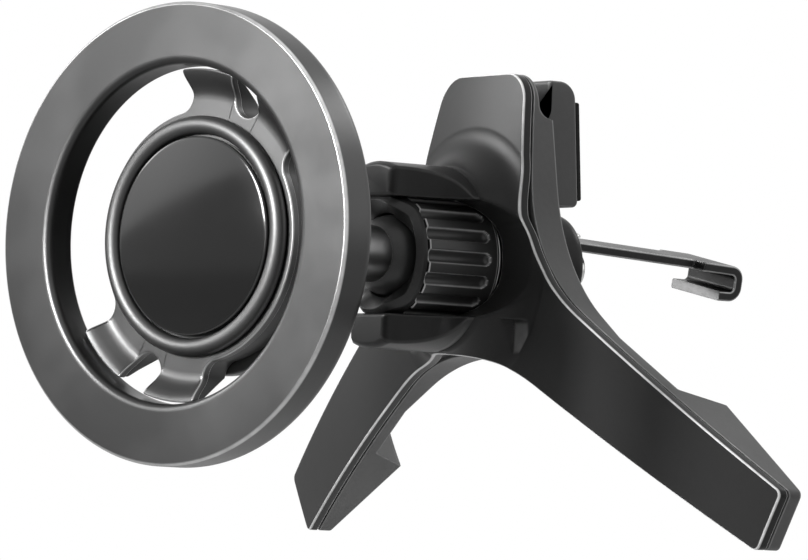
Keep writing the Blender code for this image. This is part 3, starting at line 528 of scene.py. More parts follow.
class Workshop:
    """Turns sheets into finished pieces of the part."""

    def __init__(self, nodes: dict) -> None:
        """Build the finishes.

        Args:
            nodes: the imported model's node objects by name.
        """
        effects = Effects()
        self.materials = {slot: finish.build(effects) for slot, finish in FINISHES.items()}
        self.nodes = nodes

    @staticmethod
    def faces(rows: int, columns: int, wrap_rows: bool, wrap_columns: bool) -> np.ndarray:
        """Return the quads of a grid as vertex numbers."""
        row, column = np.meshgrid(np.arange(rows if wrap_rows else rows - 1),
                                  np.arange(columns if wrap_columns else columns - 1), indexing="ij")
        next_row, next_column = (row + 1) % rows, (column + 1) % columns
        quads = np.stack((row * columns + column, row * columns + next_column,
                          next_row * columns + next_column, next_row * columns + column), axis=-1)
        return quads.reshape(-1, 4)

    def piece(self, name: str, sheet: Sheet, axis: Axis, body: Body, slot: str, node: str,
              closed: bool = False, ends: bool = False, finish: str = "") -> None:
        """Make an object of a sheet whose columns run round.

        Args:
            name: the piece's name.
            sheet: the grid.
            axis: the frame the grid is in.
            body: what it rides on.
            slot: material slot of the record, which names the finish.
            node: the CAD node it stands for.
            closed: whether the last row joins the first.
            ends: whether the first and last rows are closed with a face each.
            finish: a finish other than the slot's own.
        """
        rows, columns = sheet.edge.shape
        faces = self.faces(rows, columns, closed, True).tolist()
        if ends:
            faces += [list(range(columns)), list(range((rows - 1) * columns, rows * columns))]
        mesh = bpy.data.meshes.new(name)
        mesh.from_pydata(axis.world(sheet.points).reshape(-1, 3).tolist(), [], faces)
        mark = mesh.attributes.new("edge", "FLOAT", "POINT")
        mark.data.foreach_set("value", sheet.edge.ravel().astype(np.float32))
        surface = bmesh.new()
        surface.from_mesh(mesh)
        bmesh.ops.remove_doubles(surface, verts=surface.verts, dist=MERGE_DISTANCE)
        bmesh.ops.dissolve_degenerate(surface, edges=surface.edges, dist=MERGE_DISTANCE)
        bmesh.ops.recalc_face_normals(surface, faces=surface.faces)
        surface.to_mesh(mesh)
        surface.free()
        mesh.polygons.foreach_set("use_smooth", np.ones(len(mesh.polygons), dtype=bool))
        mesh.materials.append(self.materials[finish or slot])
        made = bpy.data.objects.new(name, mesh)
        bpy.context.scene.collection.objects.link(made)
        weighted = made.modifiers.new("even_shading", "WEIGHTED_NORMAL")
        weighted.mode = "FACE_AREA"
        weighted.weight = 60
        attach(made, body.value)
        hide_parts(node)
        LOG.info("%s: %d faces on %s", name, len(mesh.polygons), body.value)

    def dress_node(self, name: str, slot: str) -> None:
        """Give a CAD node that stays in place its finish."""
        mesh = self.nodes[name].data
        mesh.materials.clear()
        mesh.materials.append(self.materials[slot])
        LOG.info("%s keeps its solid, finish %s", name, slot)


@dataclass
class RingHead:
    """The magnetic ring with its hub: ring, back cover, spoked plate, bezel and domed cap."""

    outer_r: float = 29.0
    inner_r: float = 21.2
    front: float = 42.3
    back: float = 37.3
    chamfer: float = 0.35
    inner_roll: float = 1.1
    wall: float = 1.4
    channel_floor: float = 40.7
    plate_depth: float = 0.8
    groove_half: float = 0.6
    groove_depth: float = 0.25
    groove_slope: float = 0.2
    hub_r: float = 15.9
    hub_front: float = 37.3
    hub_back: float = 32.9
    sheet: float = 1.2
    gap: float = 0.3
    roll: float = math.radians(66.0)
    kidney_half: float = math.radians(60.0)
    kidney_corner: float = 2.2
    notch_half: float = 2.3
    notch_depth: float = 4.6
    bend_width: float = 3.3
    bend_rise: float = 2.0
    tip_depth: float = 1.6
    hub_columns: int = 900
    hub_inset: float = 0.3
    backing_inset: float = 0.12
    screw_seat: float = 35.5
    screw_head_r: float = 3.3
    screw_bore_r: float = 1.8
    bezel_outer_r: float = 15.1
    bezel_inner_r: float = 12.8
    bezel_base: float = 37.6
    bezel_top: float = 38.9
    cap_shoulder: float = 38.4
    cap_crown: float = 0.9

    def build(self, shop: Workshop) -> None:
        """Make every piece of the head."""
        for name, sheet, slot, node, closed in (
                ("ring_satin", self.ring(), "gunmetal", "head_ring", True),
                ("ring_back_plate", self.back_plate(), "dark_plate", "ring_back_cover", True),
                ("hub_spokes", self.hub(), "hub_grey", "hub_plate", True),
                ("hub_backing", self.backing(), "dark_plate", "hub_plate", True),
                ("hub_rim", self.bezel(), "bezel_black", "hub_bezel", True),
                ("hub_dome", self.dome(), "gloss_black", "hub_cap", False)):
            shop.piece(name, sheet, HEAD_AXIS, Body.HEAD, slot, node, closed)
        for index in range(1, 9):
            shop.dress_node(f"magnet_{index}", "magnet_nickel")
        shop.dress_node("hub_screw", "bright_steel")

    def ring(self) -> Sheet:
        """Turn the ring: a flat front, a chamfer outside painted with a bright highlight line, a rolled inner
        edge and a channel behind.
        """
        channel_out, channel_in = self.outer_r - self.wall, self.inner_r + self.wall
        half = self.wall / 2.0
        # The chamfer's two bands give it the full edge mark, so the finish paints a bright highlight along
        # it.
        return lathe([(self.outer_r - self.chamfer, self.front, 0.12, Band.RISE),
                      (self.outer_r, self.front - self.chamfer, 0.12, Band.FALL),
                      (self.outer_r, self.back, 1.2), (channel_out, self.back, 0.1),
                      (channel_out, self.channel_floor), (channel_in, self.channel_floor),
                      (channel_in, self.back, 0.1), (self.inner_r + half, self.back, 0.15),
                      (self.inner_r, self.back + half, 0.15), (self.inner_r, self.front, self.inner_roll)],
                     224, True)

    def back_plate(self) -> Sheet:
        """Turn the plate that closes the ring's channel, with a shallow groove along its middle."""
        outer, inner = self.outer_r - self.wall - self.gap, self.inner_r + self.wall + self.gap
        top, floor = self.back + self.plate_depth, self.back + self.groove_depth
        middle = (outer + inner) / 2.0
        wide, narrow = self.groove_half, self.groove_half - self.groove_slope
        return lathe([(outer, top, 0.1), (outer, self.back, 0.2), (middle + wide, self.back, 0.1),
                      (middle + narrow, floor, 0.08), (middle - narrow, floor, 0.08),
                      (middle - wide, self.back, 0.1), (inner, self.back, 0.2), (inner, top, 0.1)], 160, True)

    def hub_outline(self) -> np.ndarray:
        """Return the spoked outline: two rims with a U-notch each, and two kidney floors between.

        Kidney ends are radial walls with a round corner, drawn in (arc length, radius) and
        wrapped on the mean radius; the notch is drawn square and turned onto its spoke.
        """
        rim = self.inner_r - self.gap
        middle = (self.hub_r + rim) / 2.0
        edge = self.kidney_half * middle
        corner = np.radians(np.linspace(0.0, 90.0, 12))
        wall_r = self.hub_r + self.kidney_corner - self.kidney_corner * np.sin(corner)
        wall_s = -edge + self.kidney_corner - self.kidney_corner * np.cos(corner)
        floor = np.linspace(wall_s[-1], -wall_s[-1], 60)
        along = np.concatenate(([-edge], wall_s, floor, -wall_s[::-1], [edge]))
        reach = np.concatenate(([rim], wall_r, np.full(60, self.hub_r), wall_r[::-1], [rim]))
        angle = along / middle + math.pi / 2.0
        kidney = np.stack((reach * np.cos(angle), reach * np.sin(angle)), axis=-1)
        mouth = math.asin(self.notch_half / rim)
        spoke = math.pi / 2.0 - self.kidney_half
        arcs = np.linspace(mouth, spoke, 30)[:-1]
        upper = rim * np.stack((np.cos(arcs), np.sin(arcs)), axis=-1)
        lower = (upper * (1.0, -1.0))[::-1]
        depth = rim - self.notch_depth
        bowl = np.radians(np.linspace(270.0, 90.0, 24))
        notch = np.stack((depth + self.notch_half + self.notch_half * np.cos(bowl),
                          self.notch_half * np.sin(bowl)), axis=-1)
        half = np.vstack((lower, notch, upper, kidney))
        whole = np.vstack((half, -half))
        cosine, sine = math.cos(self.roll), math.sin(self.roll)
        return whole @ np.array(((cosine, sine), (-sine, cosine)))

    def level(self, reach: np.ndarray) -> np.ndarray:
        """Return the plate's height at a distance from the axis: an S-shaped rise to the spokes' tips."""
        rim = self.inner_r - self.gap
        return self.hub_front + self.bend_rise * smooth_step(reach, rim - self.bend_width, rim)

    def on_plate(self, points: np.ndarray, lift: float) -> np.ndarray:
        """Set plan points on the plate's height, lifted by an amount."""
        return np.column_stack((points, self.level(np.linalg.norm(points, axis=1)) + lift))

    @staticmethod
    def spread(angles: np.ndarray, window: int = 41) -> np.ndarray:
        """Return angles round a closed line after a moving average, so that none crowd at a radial wall."""
        turned = np.unwrap(angles)
        whole = 2.0 * math.pi * round((turned[-1] - turned[0]) / (2.0 * math.pi))
        padded = np.concatenate((turned[-window:] - whole, turned, turned[:window] + whole))
        return np.convolve(padded, np.full(window, 1.0 / window), "same")[window:-window]

    def fan(self, line: np.ndarray, shares: Sequence[float], lift: float) -> list:
        """Return rows on the plate that blend from the screw's hole to a plan line by the given shares."""
        angles = self.spread(np.arctan2(line[:, 1], line[:, 0]))
        hole = circle(self.screw_head_r, 0.0, angles)[:, :2]
        return [Station(self.on_plate(hole + share * (line - hole), lift)) for share in shares]

    def hub(self) -> Sheet:
        """Carry the hub's sheet from its hole to its outline, where the spokes rise to the ring."""
        outer = resample(self.hub_outline(), self.hub_columns, 2)
        inner = inset(outer, self.hub_inset)
        stations = self.fan(inner, np.linspace(0.0, 1.0, 30), 0.0)
        stations += [Station(self.on_plate(outer, 0.0), 0.25),
                     Station(self.on_plate(outer, -self.sheet), 0.15)]
        return loft(stations + self.fan(inner, np.linspace(1.0, 0.0, 12), -self.sheet), True)

    def backing(self) -> Sheet:
        """Carry the black body behind the sheet: it has the same outline and thins out under the spokes."""
        outer = inset(resample(self.hub_outline(), self.hub_columns, 2), self.backing_inset)
        inner = inset(outer, self.hub_inset)
        angles = np.arctan2(inner[:, 1], inner[:, 0])
        bend = self.inner_r - self.gap - self.bend_width
        under = -self.sheet - 0.02
        tip_back = self.hub_front + self.bend_rise - self.tip_depth
        bore = circle(self.screw_bore_r, self.hub_back, angles)

        def rear(points: np.ndarray) -> np.ndarray:
            """Set plan points on the back, which slopes up from the bend to the spokes' tips."""
            share = np.clip((np.linalg.norm(points, axis=1) - bend) / self.bend_width, 0.0, 1.0)
            return np.column_stack((points, self.hub_back + share * (tip_back - self.hub_back)))

        stations = [Station(bore), Station(circle(self.screw_bore_r, self.screw_seat, angles)),
                    Station(circle(self.screw_head_r, self.screw_seat, angles))]
        stations += self.fan(inner, np.linspace(0.0, 1.0, 14), under)
        stations += [Station(self.on_plate(outer, under), 0.15), Station(rear(outer), 0.3)]
        stations += [Station(rear(bore[:, :2] + share * (inner - bore[:, :2])))
                     for share in np.linspace(1.0, 0.1, 14)]
        return loft(stations, True)

    def bezel(self) -> Sheet:
        """Turn the bezel, a half round standing on its flat base."""
        half = (self.bezel_outer_r - self.bezel_inner_r) / 2.0
        crest = arc(self.bezel_inner_r + half, self.bezel_top - half, half, 180.0, 0.0, 20)
        base = [(self.bezel_outer_r, self.bezel_base), (self.bezel_inner_r, self.bezel_base)]
        return lathe(crest + base, 160, True)

    def dome(self) -> Sheet:
        """Turn the cap, a shallow dome with a rounded edge."""
        cap_r = self.bezel_inner_r - self.gap
        dome_r = (cap_r ** 2 + self.cap_crown ** 2) / (2.0 * self.cap_crown)
        spread = math.degrees(math.asin(cap_r / dome_r))
        crown = arc(0.0, self.cap_shoulder + self.cap_crown - dome_r, dome_r, 90.0, 90.0 - spread, 24)
        crown = [(0.0, self.cap_shoulder + self.cap_crown)] + crown[1:-1]
        edge = [(cap_r, self.cap_shoulder, 0.35), (cap_r, self.bezel_base), (0.0, self.bezel_base)]
        return lathe(crown + edge, 160, False)


@dataclass
class StemAndBall:
    """The stem with its flange, the ball on its end, and the collar that grips the ball."""

    top: float = 32.6
    flange_r: float = 17.2
    flange_depth: float = 2.4
    radius: float = 3.7
    fillet: float = 4.5
    bore_r: float = 1.8
    bore_end: float = 27.5
    shank_middle: float = 18.0
    neck_end: float = 4.2
    ball_r: float = 5.3
    gap: float = 0.3
    socket_front: float = 29.155
    collar_r: float = 7.9
    collar_chamfer: float = 0.8
    collar_back: float = 25.655
    saddle: float = 2.1
    saddle_crest: float = 2.6
    saddle_foot: float = 5.4
    cavity_r: float = 5.6
    wall: float = 0.9
    lip: float = 1.2
    pole_r: float = 0.05

    def build(self, shop: Workshop) -> None:
        """Make the stem, the ball and the collar."""
        # The stem gets a lighter copy of the gunmetal, which paints light on it.
        shop.piece("stem_satin", self.stem(), HEAD_AXIS, Body.STEM, "gunmetal", "stem", finish="stem_painted_light")
        shop.piece("stem_flange", self.flange(), HEAD_AXIS, Body.STEM, "dark_plate", "stem", closed=True)
        shop.piece("ball_satin", self.ball(), HEAD_AXIS, Body.BALL, "dark_plate", "ball")
        shop.piece("ball_collar", self.collar(), BODY_AXIS, Body.BASE, "shell_black", "ball_socket",
                   closed=True, finish="arm_black")

    def flange(self) -> Sheet:
        """Turn the disc that backs the hub."""
        under = self.top - self.flange_depth
        return lathe([(self.bore_r, self.top), (self.flange_r, self.top, 0.3), (self.flange_r, under, 0.5),
                      (self.bore_r, under)], 128, True)

    def stem(self) -> Sheet:
        """Turn the stem: a fillet under the flange, a straight shank, and a hollow on the ball."""
        under = self.top - self.flange_depth
        cup_r = self.ball_r + self.gap
        edge = math.degrees(math.acos(self.radius / cup_r))
        fillet = arc(self.radius + self.fillet, under - self.fillet, self.fillet, 90.0, 180.0, 14)
        cup = arc(0.0, 0.0, cup_r, edge, 90.0, 10)
        profile = [(0.0, self.bore_end), (self.bore_r, self.bore_end), (self.bore_r, under + self.gap),
                   (fillet[0][0], under + self.gap)] + fillet
        profile += [(self.radius, self.shank_middle), (self.radius, self.neck_end, 0.15)]
        return lathe(profile + cup[:-1] + [(0.0, cup_r)], 96, False)

    def ball(self) -> Sheet:
        """Turn the ball: a half circle about the axis, with its poles on the axis."""
        half = arc(0.0, 0.0, self.ball_r, 90.0, -90.0, 30)
        return lathe([(0.0, self.ball_r)] + half[1:-1] + [(0.0, -self.ball_r)], 64, False)

    def collar(self) -> Sheet:
        """Turn the collar and cup, then sag its front rim into a saddle that is lowest at the sides."""
        lip = math.degrees(math.asin(self.lip / self.cavity_r))
        cup_r = self.cavity_r + self.wall
        cup_top = math.degrees(math.asin((self.collar_back - BALL_FORWARD) / cup_r))
        cavity = [(self.pole_r, BALL_FORWARD - self.cavity_r)]
        cavity += arc(0.0, BALL_FORWARD, self.cavity_r, -90.0, lip, 16)[1:-1]
        rim = self.cavity_r * math.cos(math.radians(lip))
        front = [(rim, BALL_FORWARD + self.lip, 0.2),
                 (self.collar_r - self.collar_chamfer, self.socket_front, 0.1, Band.RISE),
                 (self.collar_r, self.socket_front - self.collar_chamfer, 0.1, Band.FALL)]
        cup = arc(0.0, BALL_FORWARD, cup_r, cup_top, -90.0, 12)
        back = [(self.collar_r, self.collar_back, 0.1)] + cup[:-1] + [(self.pole_r, BALL_FORWARD - cup_r)]
        sheet = lathe(cavity + front + back, 160, True)
        across, forward = sheet.points[..., 0], sheet.points[..., 2]
        sag = self.saddle * smooth_step(np.abs(across), self.saddle_crest, self.saddle_foot)
        share = smooth_step(forward, self.collar_back, self.socket_front - self.collar_chamfer)
        sheet.points[..., 2] = forward - sag * share
        return sheet


@dataclass
class OutlineRows:
    """Rows of a surface that runs from the axis out to a closed outline.

    Attributes:
        outer: the outline.
        inner: the outline moved inwards, where the rows on the surface stop.
    """

    outer: np.ndarray
    inner: np.ndarray

    def __post_init__(self) -> None:
        """Work out each column's angle and the distance it stops at."""
        self.angles = np.arctan2(self.inner[:, 1], self.inner[:, 0])
        self.limit = np.linalg.norm(self.inner, axis=1)

    def at(self, reach: float, height: Height) -> Station:
        """Return a row at a distance from the axis, on a surface."""
        row = circle(np.minimum(reach, self.limit), 0.0, self.angles)
        row[:, 2] = height(row[:, 0], row[:, 1])
        return Station(row)

    def edge(self, first: Height, second: Height, sizes: tuple) -> list:
        """Return the rows from one surface round the outline to another, with two rounded edges."""
        places = ((self.inner, first, 0.0), (self.outer, first, sizes[0]),
                  (self.outer, second, sizes[1]), (self.inner, second, 0.0))
        return [Station(np.column_stack((line, height(line[:, 0], line[:, 1]))), size)
                for line, height, size in places]


@dataclass
class BodyShape:
    """The outline and surfaces that the cover and the shell share."""

    leg_drop: float = math.radians(31.0)
    leg_reach: float = 63.0
    root_reach: float = 25.0
    root_half: float = 5.9
    tip_half: float = 4.4
    tip_corner: float = 0.9
    fin_top: float = 24.6
    fin_top_half: float = 9.0
    fin_root_up: float = 13.0
    fin_root_half: float = 11.3
    fin_corner: float = 4.5
    armpit_r: float = 26.0
    arch_r: float = 32.0
    columns: int = 1100
    edge_inset: float = 0.4
    face_start_r: float = 16.0
    face_top: float = 14.3
    face_slope: float = 0.15
    face_bend: float = 0.0015

    def leg_point(self, reach: float, offset: float) -> tuple:
        """Return a point of the right leg, offset towards its upper edge."""
        cosine, sine = math.cos(self.leg_drop), math.sin(self.leg_drop)
        return (reach * cosine + offset * sine, -reach * sine + offset * cosine)

    @staticmethod
    def meet(first: tuple, second: tuple, third: tuple, fourth: tuple) -> tuple:
        """Return where the line through two points meets the line through two others."""
        ax, ay = first
        bx, by = second[0] - ax, second[1] - ay
        cx, cy = third
        dx, dy = fourth[0] - cx, fourth[1] - cy
        share = ((cx - ax) * dy - (cy - ay) * dx) / (bx * dy - by * dx)
        return (ax + share * bx, ay + share * by)

    def outline(self) -> np.ndarray:
        """Return the counter-clockwise outline of the fin and the two legs, with round corners."""
        fin_top = (self.fin_top_half, self.fin_top)
        upper_tip = self.leg_point(self.leg_reach, self.tip_half)
        lower_tip = self.leg_point(self.leg_reach, -self.tip_half)
        armpit = self.meet(fin_top, (self.fin_root_half, self.fin_root_up),
                           self.leg_point(self.root_reach, self.root_half), upper_tip)
        arch = self.meet(lower_tip, self.leg_point(self.root_reach, -self.root_half), (0.0, 0.0), (0.0, 1.0))
        right = [(*fin_top, self.fin_corner), (*armpit, self.armpit_r), (*upper_tip, self.tip_corner),
                 (*lower_tip, self.tip_corner)]
        left = [(-x, y, radius) for x, y, radius in reversed(right)]
        loop = rounded(right + [(0.0, arch[1], self.arch_r)] + left, 30)
        return resample(loop[::-1], self.columns)

    def rows(self) -> OutlineRows:
        """Return the rows that run out to the outline."""
        outer = self.outline()
        return OutlineRows(outer, inset(outer, self.edge_inset))

    def face(self, reach: np.ndarray) -> np.ndarray:
        """Return the face's forward height: it bends back gently with the distance from the axis."""
        out = reach - self.face_start_r
        return self.face_top - self.face_slope * out - self.face_bend * out * out


@dataclass
class FrontCover:
    """The black cover: a flared face with legs and fin, and two arms that reach round the wheel."""

    shape: BodyShape
    bore_r: float = 8.2
    barrel_r: float = 12.15
    flare_r: float = 5.5
    depth: float = 1.4
    back: float = 13.455
    window_floor: float = 14.255
    window_half: float = 7.6
    window_corner: float = 5.5
    arm_front: float = 29.555
    arm_half: float = 4.2
    arm_chamfer: float = 0.75
    arm_flank_r: float = 8.0
    arm_root: float = 19.55
    arm_width: float = 9.35
    arm_straight: float = 28.3
    arm_sink: float = 0.06
    pocket: tuple = (13.0, -10.0, 1.8, 2.3)
    pocket_floor: float = 14.155
    # Strength of the painted highlight on the pockets' floors.
    pocket_painted_highlight: float = 0.14
    window_lift: float = 0.1
    window_blend: float = 0.7

    def build(self, shop: Workshop) -> None:
        """Make the face and the two arms."""
        shop.piece("cover_face", self.flared_face(), BODY_AXIS, Body.BASE, "shell_black", "front_cover",
                   closed=True)
        for name, side in (("cover_arm_upper", 1.0), ("cover_arm_lower", -1.0)):
            shop.piece(name, self.arm(side), BODY_AXIS, Body.BASE, "shell_black", "front_cover", ends=True,
                       finish="arm_black")

    def window(self, up: np.ndarray) -> np.ndarray:
        """Return the rear edge of the side windows: flat in the middle and a quarter circle to each end."""
        bend = np.clip(np.abs(up) - (self.window_half - self.window_corner), 0.0, self.window_corner - 0.02)
        return self.window_floor + self.window_corner - np.sqrt(self.window_corner ** 2 - bend ** 2)

    def height(self, across: np.ndarray, up: np.ndarray) -> np.ndarray:
        """Return the front's height: a quarter-circle flare into the face, cut by windows and pockets."""
        reach = np.hypot(across, up)
        end = self.barrel_r + self.flare_r
        inward = np.clip(end - reach, 0.0, self.flare_r - 0.02)
        rise = self.flare_r - np.sqrt(self.flare_r ** 2 - inward ** 2)
        flare = self.shape.face(np.maximum(reach, end)) + rise
        level = smooth_min(flare, self.window(up) + self.window_lift, self.window_blend)
        return level - self.in_pocket(across, up) * np.maximum(level - self.pocket_floor, 0.0)

    def in_pocket(self, across: np.ndarray, up: np.ndarray, margin: float = 0.0,
                  soft: float = 0.12) -> np.ndarray:
        """Return 1 inside the two pockets beside the flare, less a margin, and 0 outside."""
        x, y, wide, high = self.pocket
        outside = np.maximum(np.abs(np.abs(across) - x) - wide, np.abs(up - y) - high) + margin
        return 1.0 - smooth_step(outside, -soft, soft)

    def rim(self, across: np.ndarray, up: np.ndarray) -> np.ndarray:
        """Return the height of the outline's rear edge."""
        return self.height(across, up) - self.depth

    def under(self, across: np.ndarray, up: np.ndarray) -> np.ndarray:
        """Return the height of the cover's underside."""
        return np.minimum(self.shape.face(np.hypot(across, up)) - self.depth, self.back)

    def flared_face(self) -> Sheet:
        """Carry rows at fixed distances from the axis out to the outline, then round its edge and return."""
        rows = self.shape.rows()
        reaches = np.concatenate((np.linspace(8.6, 11.9, 9), np.linspace(12.15, 19.6, 36),
                                  np.linspace(20.2, 62.5, 39)))
        stations = [Station(circle(self.bore_r, self.back, rows.angles)), rows.at(self.bore_r, self.height)]
        stations[1].size = 0.25
        stations += [rows.at(reach, self.height) for reach in reaches]
        stations += rows.edge(self.height, self.rim, (0.35, 0.15))
        stations += [rows.at(reach, self.under) for reach in (55.0, 46.0, 37.0, 28.0, 20.0, 14.0)]
        sheet = loft(stations, True)
        across, up, forward = np.moveaxis(sheet.points, -1, 0)
        # The pockets' floors get a weak edge mark, a painted highlight that makes them lighter.
        floor = self.in_pocket(across, up, 0.4, 0.3) * (np.abs(forward - self.pocket_floor) < 0.1)
        sheet.edge = np.maximum(sheet.edge, self.pocket_painted_highlight * floor)
        return sheet

    def arm(self, side: float) -> Sheet:
        """Sweep an arm forwards: a section with a flat underside and a round top narrows to a flat nose.

        The half width falls along a quarter circle from the flare to the straight nose.
        """
        root = np.linspace(self.arm_root - 4.5, self.arm_root + self.arm_flank_r, 44)
        nose_start = self.arm_front - self.arm_chamfer
        forward = np.concatenate((root, [self.arm_straight, nose_start, self.arm_front]))
        nose = np.concatenate((np.zeros(len(root) + 2), [self.arm_chamfer]))
        back = np.clip(self.arm_root + self.arm_flank_r - forward, 0.0, self.arm_flank_r - 0.01)
        half = self.arm_half + self.arm_flank_r - np.sqrt(self.arm_flank_r ** 2 - back ** 2)
        half = np.minimum(half, self.arm_width) - nose
        top_r = self.barrel_r - nose - self.arm_sink * (forward < self.arm_root)
        under = self.window_half + 0.6 * nose
        stations = [Station(np.stack((-half, side * under, forward), axis=-1), 0.3),
                    Station(np.stack((half, side * under, forward), axis=-1), 0.3)]
        for share in np.linspace(1.0, -1.0, 25):
            across = half * share
            row = np.stack((across, side * np.sqrt(top_r ** 2 - across ** 2), forward), axis=-1)
            stations.append(Station(row, 0.45 if abs(share) == 1.0 else 0.0))
        return loft(stations, True).turned()


@dataclass
class RearShell:
    """The grey shell: walls, wedge feet, the block behind the fin, and the three rubber pads."""

    shape: BodyShape
    bore_r: float = 4.6
    front: float = 13.155
    lift: float = -1.7
    leg_back: float = 8.6
    bend_reach: float = 29.0
    shoulder_reach: float = 40.5
    shoulder_back: float = 6.2
    shoulder_run: float = 3.0
    foot_back: float = 0.4
    slot_bottom: float = 18.7
    slot_round: float = 1.8
    slot_front: float = 10.6
    slot_rear: float = 6.8
    block_half: float = 6.2
    block_bottom: float = 7.8
    block_top: float = 24.2
    block_corner: float = 2.5
    block_back: float = 1.3
    block_lean: float = 1.3
    pad_depth: float = 1.0
    pad_margin: float = 1.0
    pad_corner: float = 0.7
    screw_circle: float = 10.2
    screw_angles: tuple = (math.radians(240.0), math.radians(300.0))
    screw_recess_r: float = 2.0
    screw_floor: float = 10.5
    screw_head_r: float = 1.7
    screw_shank_r: float = 0.9
    screw_head: float = 8.9
    screw_seat: float = 10.2
    screw_tip: float = 18.2
    cross_half: float = 0.24
    cross_run: float = 0.95
    cross_depth: float = 0.6

    def build(self, shop: Workshop) -> None:
        """Make the shell, its block, the pads and the two screws."""
        shop.piece("shell_walls", self.walls(), BODY_AXIS, Body.BASE, "shell_grey", "rear_shell", closed=True)
        shop.piece("shell_block", self.block(), BODY_AXIS, Body.BASE, "shell_grey", "rear_shell", ends=True)
        pads = {"left": self.foot_pad(-1.0), "right": self.foot_pad(1.0), "top": self.top_pad()}
        for name, sheet in pads.items():
            shop.piece(f"pad_{name}", sheet, BODY_AXIS, Body.BASE, "rubber", f"foot_pad_{name}", ends=True)
        for index, angle in enumerate(self.screw_angles, 1):
            shop.piece(f"screw_{index}", self.screw(angle), BODY_AXIS, Body.BASE, "bright_steel",
                       f"shell_screw_{index}")

    def rear(self, across: np.ndarray, up: np.ndarray) -> np.ndarray:
        """Return the back's height: level, then a slope to the shoulder, the wedge and the foot.

        Above the slot's floor the fin is thinner, along a quarter circle; screws sit in round recesses.
        """
        reach = np.hypot(across, up)
        wedge = self.shoulder_reach + self.shoulder_run
        line = np.interp(reach, (self.bend_reach, self.shoulder_reach, wedge),
                         (self.leg_back, self.shoulder_back, self.foot_back))
        rise = np.clip(self.slot_bottom + self.slot_round - up, 0.0, self.slot_round)
        slot = self.slot_front - self.slot_round + np.sqrt(self.slot_round ** 2 - rise ** 2)
        level = np.where(up > self.slot_bottom, slot, line)
        for angle in self.screw_angles:
            x, y = self.screw_circle * math.cos(angle), self.screw_circle * math.sin(angle)
            beyond = np.hypot(across - x, up - y) - self.screw_recess_r
            level = level + (1.0 - smooth_step(beyond, -0.15, 0.15)) * (self.screw_floor - level)
        return level

    def hidden(self, across: np.ndarray, up: np.ndarray) -> np.ndarray:
        """Return the height of the front, which lies under the cover."""
        return np.minimum(self.shape.face(np.hypot(across, up)) + self.lift, self.front)

    def walls(self) -> Sheet:
        """Carry rows from the bore along the hidden front to the outline, round the wall and back inwards."""
        rows = self.shape.rows()

        def rim(across: np.ndarray, up: np.ndarray) -> np.ndarray:
            """Return the back's height at the outline, kept behind the front."""
            return np.minimum(self.rear(across, up), self.hidden(across, up) - 0.2)

        reaches = np.concatenate((np.linspace(4.9, 14.0, 38), np.linspace(14.5, 29.0, 30),
                                  np.linspace(30.0, 40.5, 8), np.linspace(40.8, 43.5, 8),
                                  np.linspace(44.0, 62.0, 10)))
        stations = [Station(circle(self.bore_r, self.front, rows.angles))]
        stations += [rows.at(reach, self.hidden) for reach in (12.15, 20.0, 28.0, 37.0, 46.0, 55.0)]
        stations += rows.edge(self.hidden, rim, (0.15, 0.3))
        stations += [rows.at(reach, self.rear) for reach in reaches[::-1]]
        stations += [Station(circle(self.bore_r, self.leg_back, rows.angles), 0.2)]
        return loft(stations, True)

    def side_plate(self, profile: np.ndarray, half: float, size: float) -> Sheet:
        """Carry a (forward, up) profile from side to side, with its two edges rounded."""
        def row(points: np.ndarray, across: float) -> np.ndarray:
            """Set profile points at a distance across."""
            return np.column_stack((np.full(len(points), across), points[:, 1], points[:, 0]))

        inner = inset(profile, 1.6 * size)
        return loft([Station(row(inner, -half)), Station(row(profile, -half), size),
                     Station(row(profile, half), size), Station(row(inner, half))])

    def block(self) -> Sheet:
        """Carry the block's profile across: a leaning back, a round top corner and the slot's rear half."""
        root = self.slot_front
        corners = [(root, self.block_bottom, 0.0), (root, self.slot_bottom, 0.0),
                   (self.slot_rear, self.slot_bottom, self.slot_round), (self.slot_rear, self.block_top, 0.5),
                   (self.block_back + self.block_lean, self.block_top, self.block_corner),
                   (self.block_back, self.block_bottom, 0.8)]
        return self.side_plate(resample(rounded(corners), 300), self.block_half, 0.35)

    def foot_pad(self, side: float) -> Sheet:
        """Raise a leg's pad: a rounded outline with soft edges, from the recess to the pad's face."""
        start = self.shoulder_reach + self.shoulder_run + self.pad_margin
        end = self.shape.leg_reach - self.pad_margin
        half = self.shape.tip_half - self.pad_margin
        corners = [(*self.shape.leg_point(reach, offset), self.pad_corner)
                   for reach, offset in ((start, -half), (end, -half), (end, half), (start, half))]
        outer = resample(rounded(corners), 240)
        inner = inset(outer, 0.5)

        def row(points: np.ndarray, forward: float) -> np.ndarray:
            """Set outline points at a height."""
            return np.column_stack((side * points[:, 0], points[:, 1], np.full(len(points), forward)))

        return loft([Station(row(inner, self.pad_depth)), Station(row(outer, self.pad_depth), 0.1),
                     Station(row(outer, 0.0), 0.3), Station(row(inner, 0.0))])

    def top_pad(self) -> Sheet:
        """Carry the pad's leaning profile across behind the block."""
        low, high = self.block_bottom + self.pad_margin, self.block_top - self.block_corner
        slope = self.block_lean / (self.block_top - self.block_bottom)
        lean_low, lean_high = (low - self.block_bottom) * slope, (high - self.block_bottom) * slope
        corners = [(lean_low, low, 0.3), (self.pad_depth + lean_low, low, 0.1),
                   (self.pad_depth + lean_high, high, 0.1), (lean_high, high, 0.3)]
        return self.side_plate(resample(rounded(corners), 160), self.block_half - self.pad_margin, 0.25)

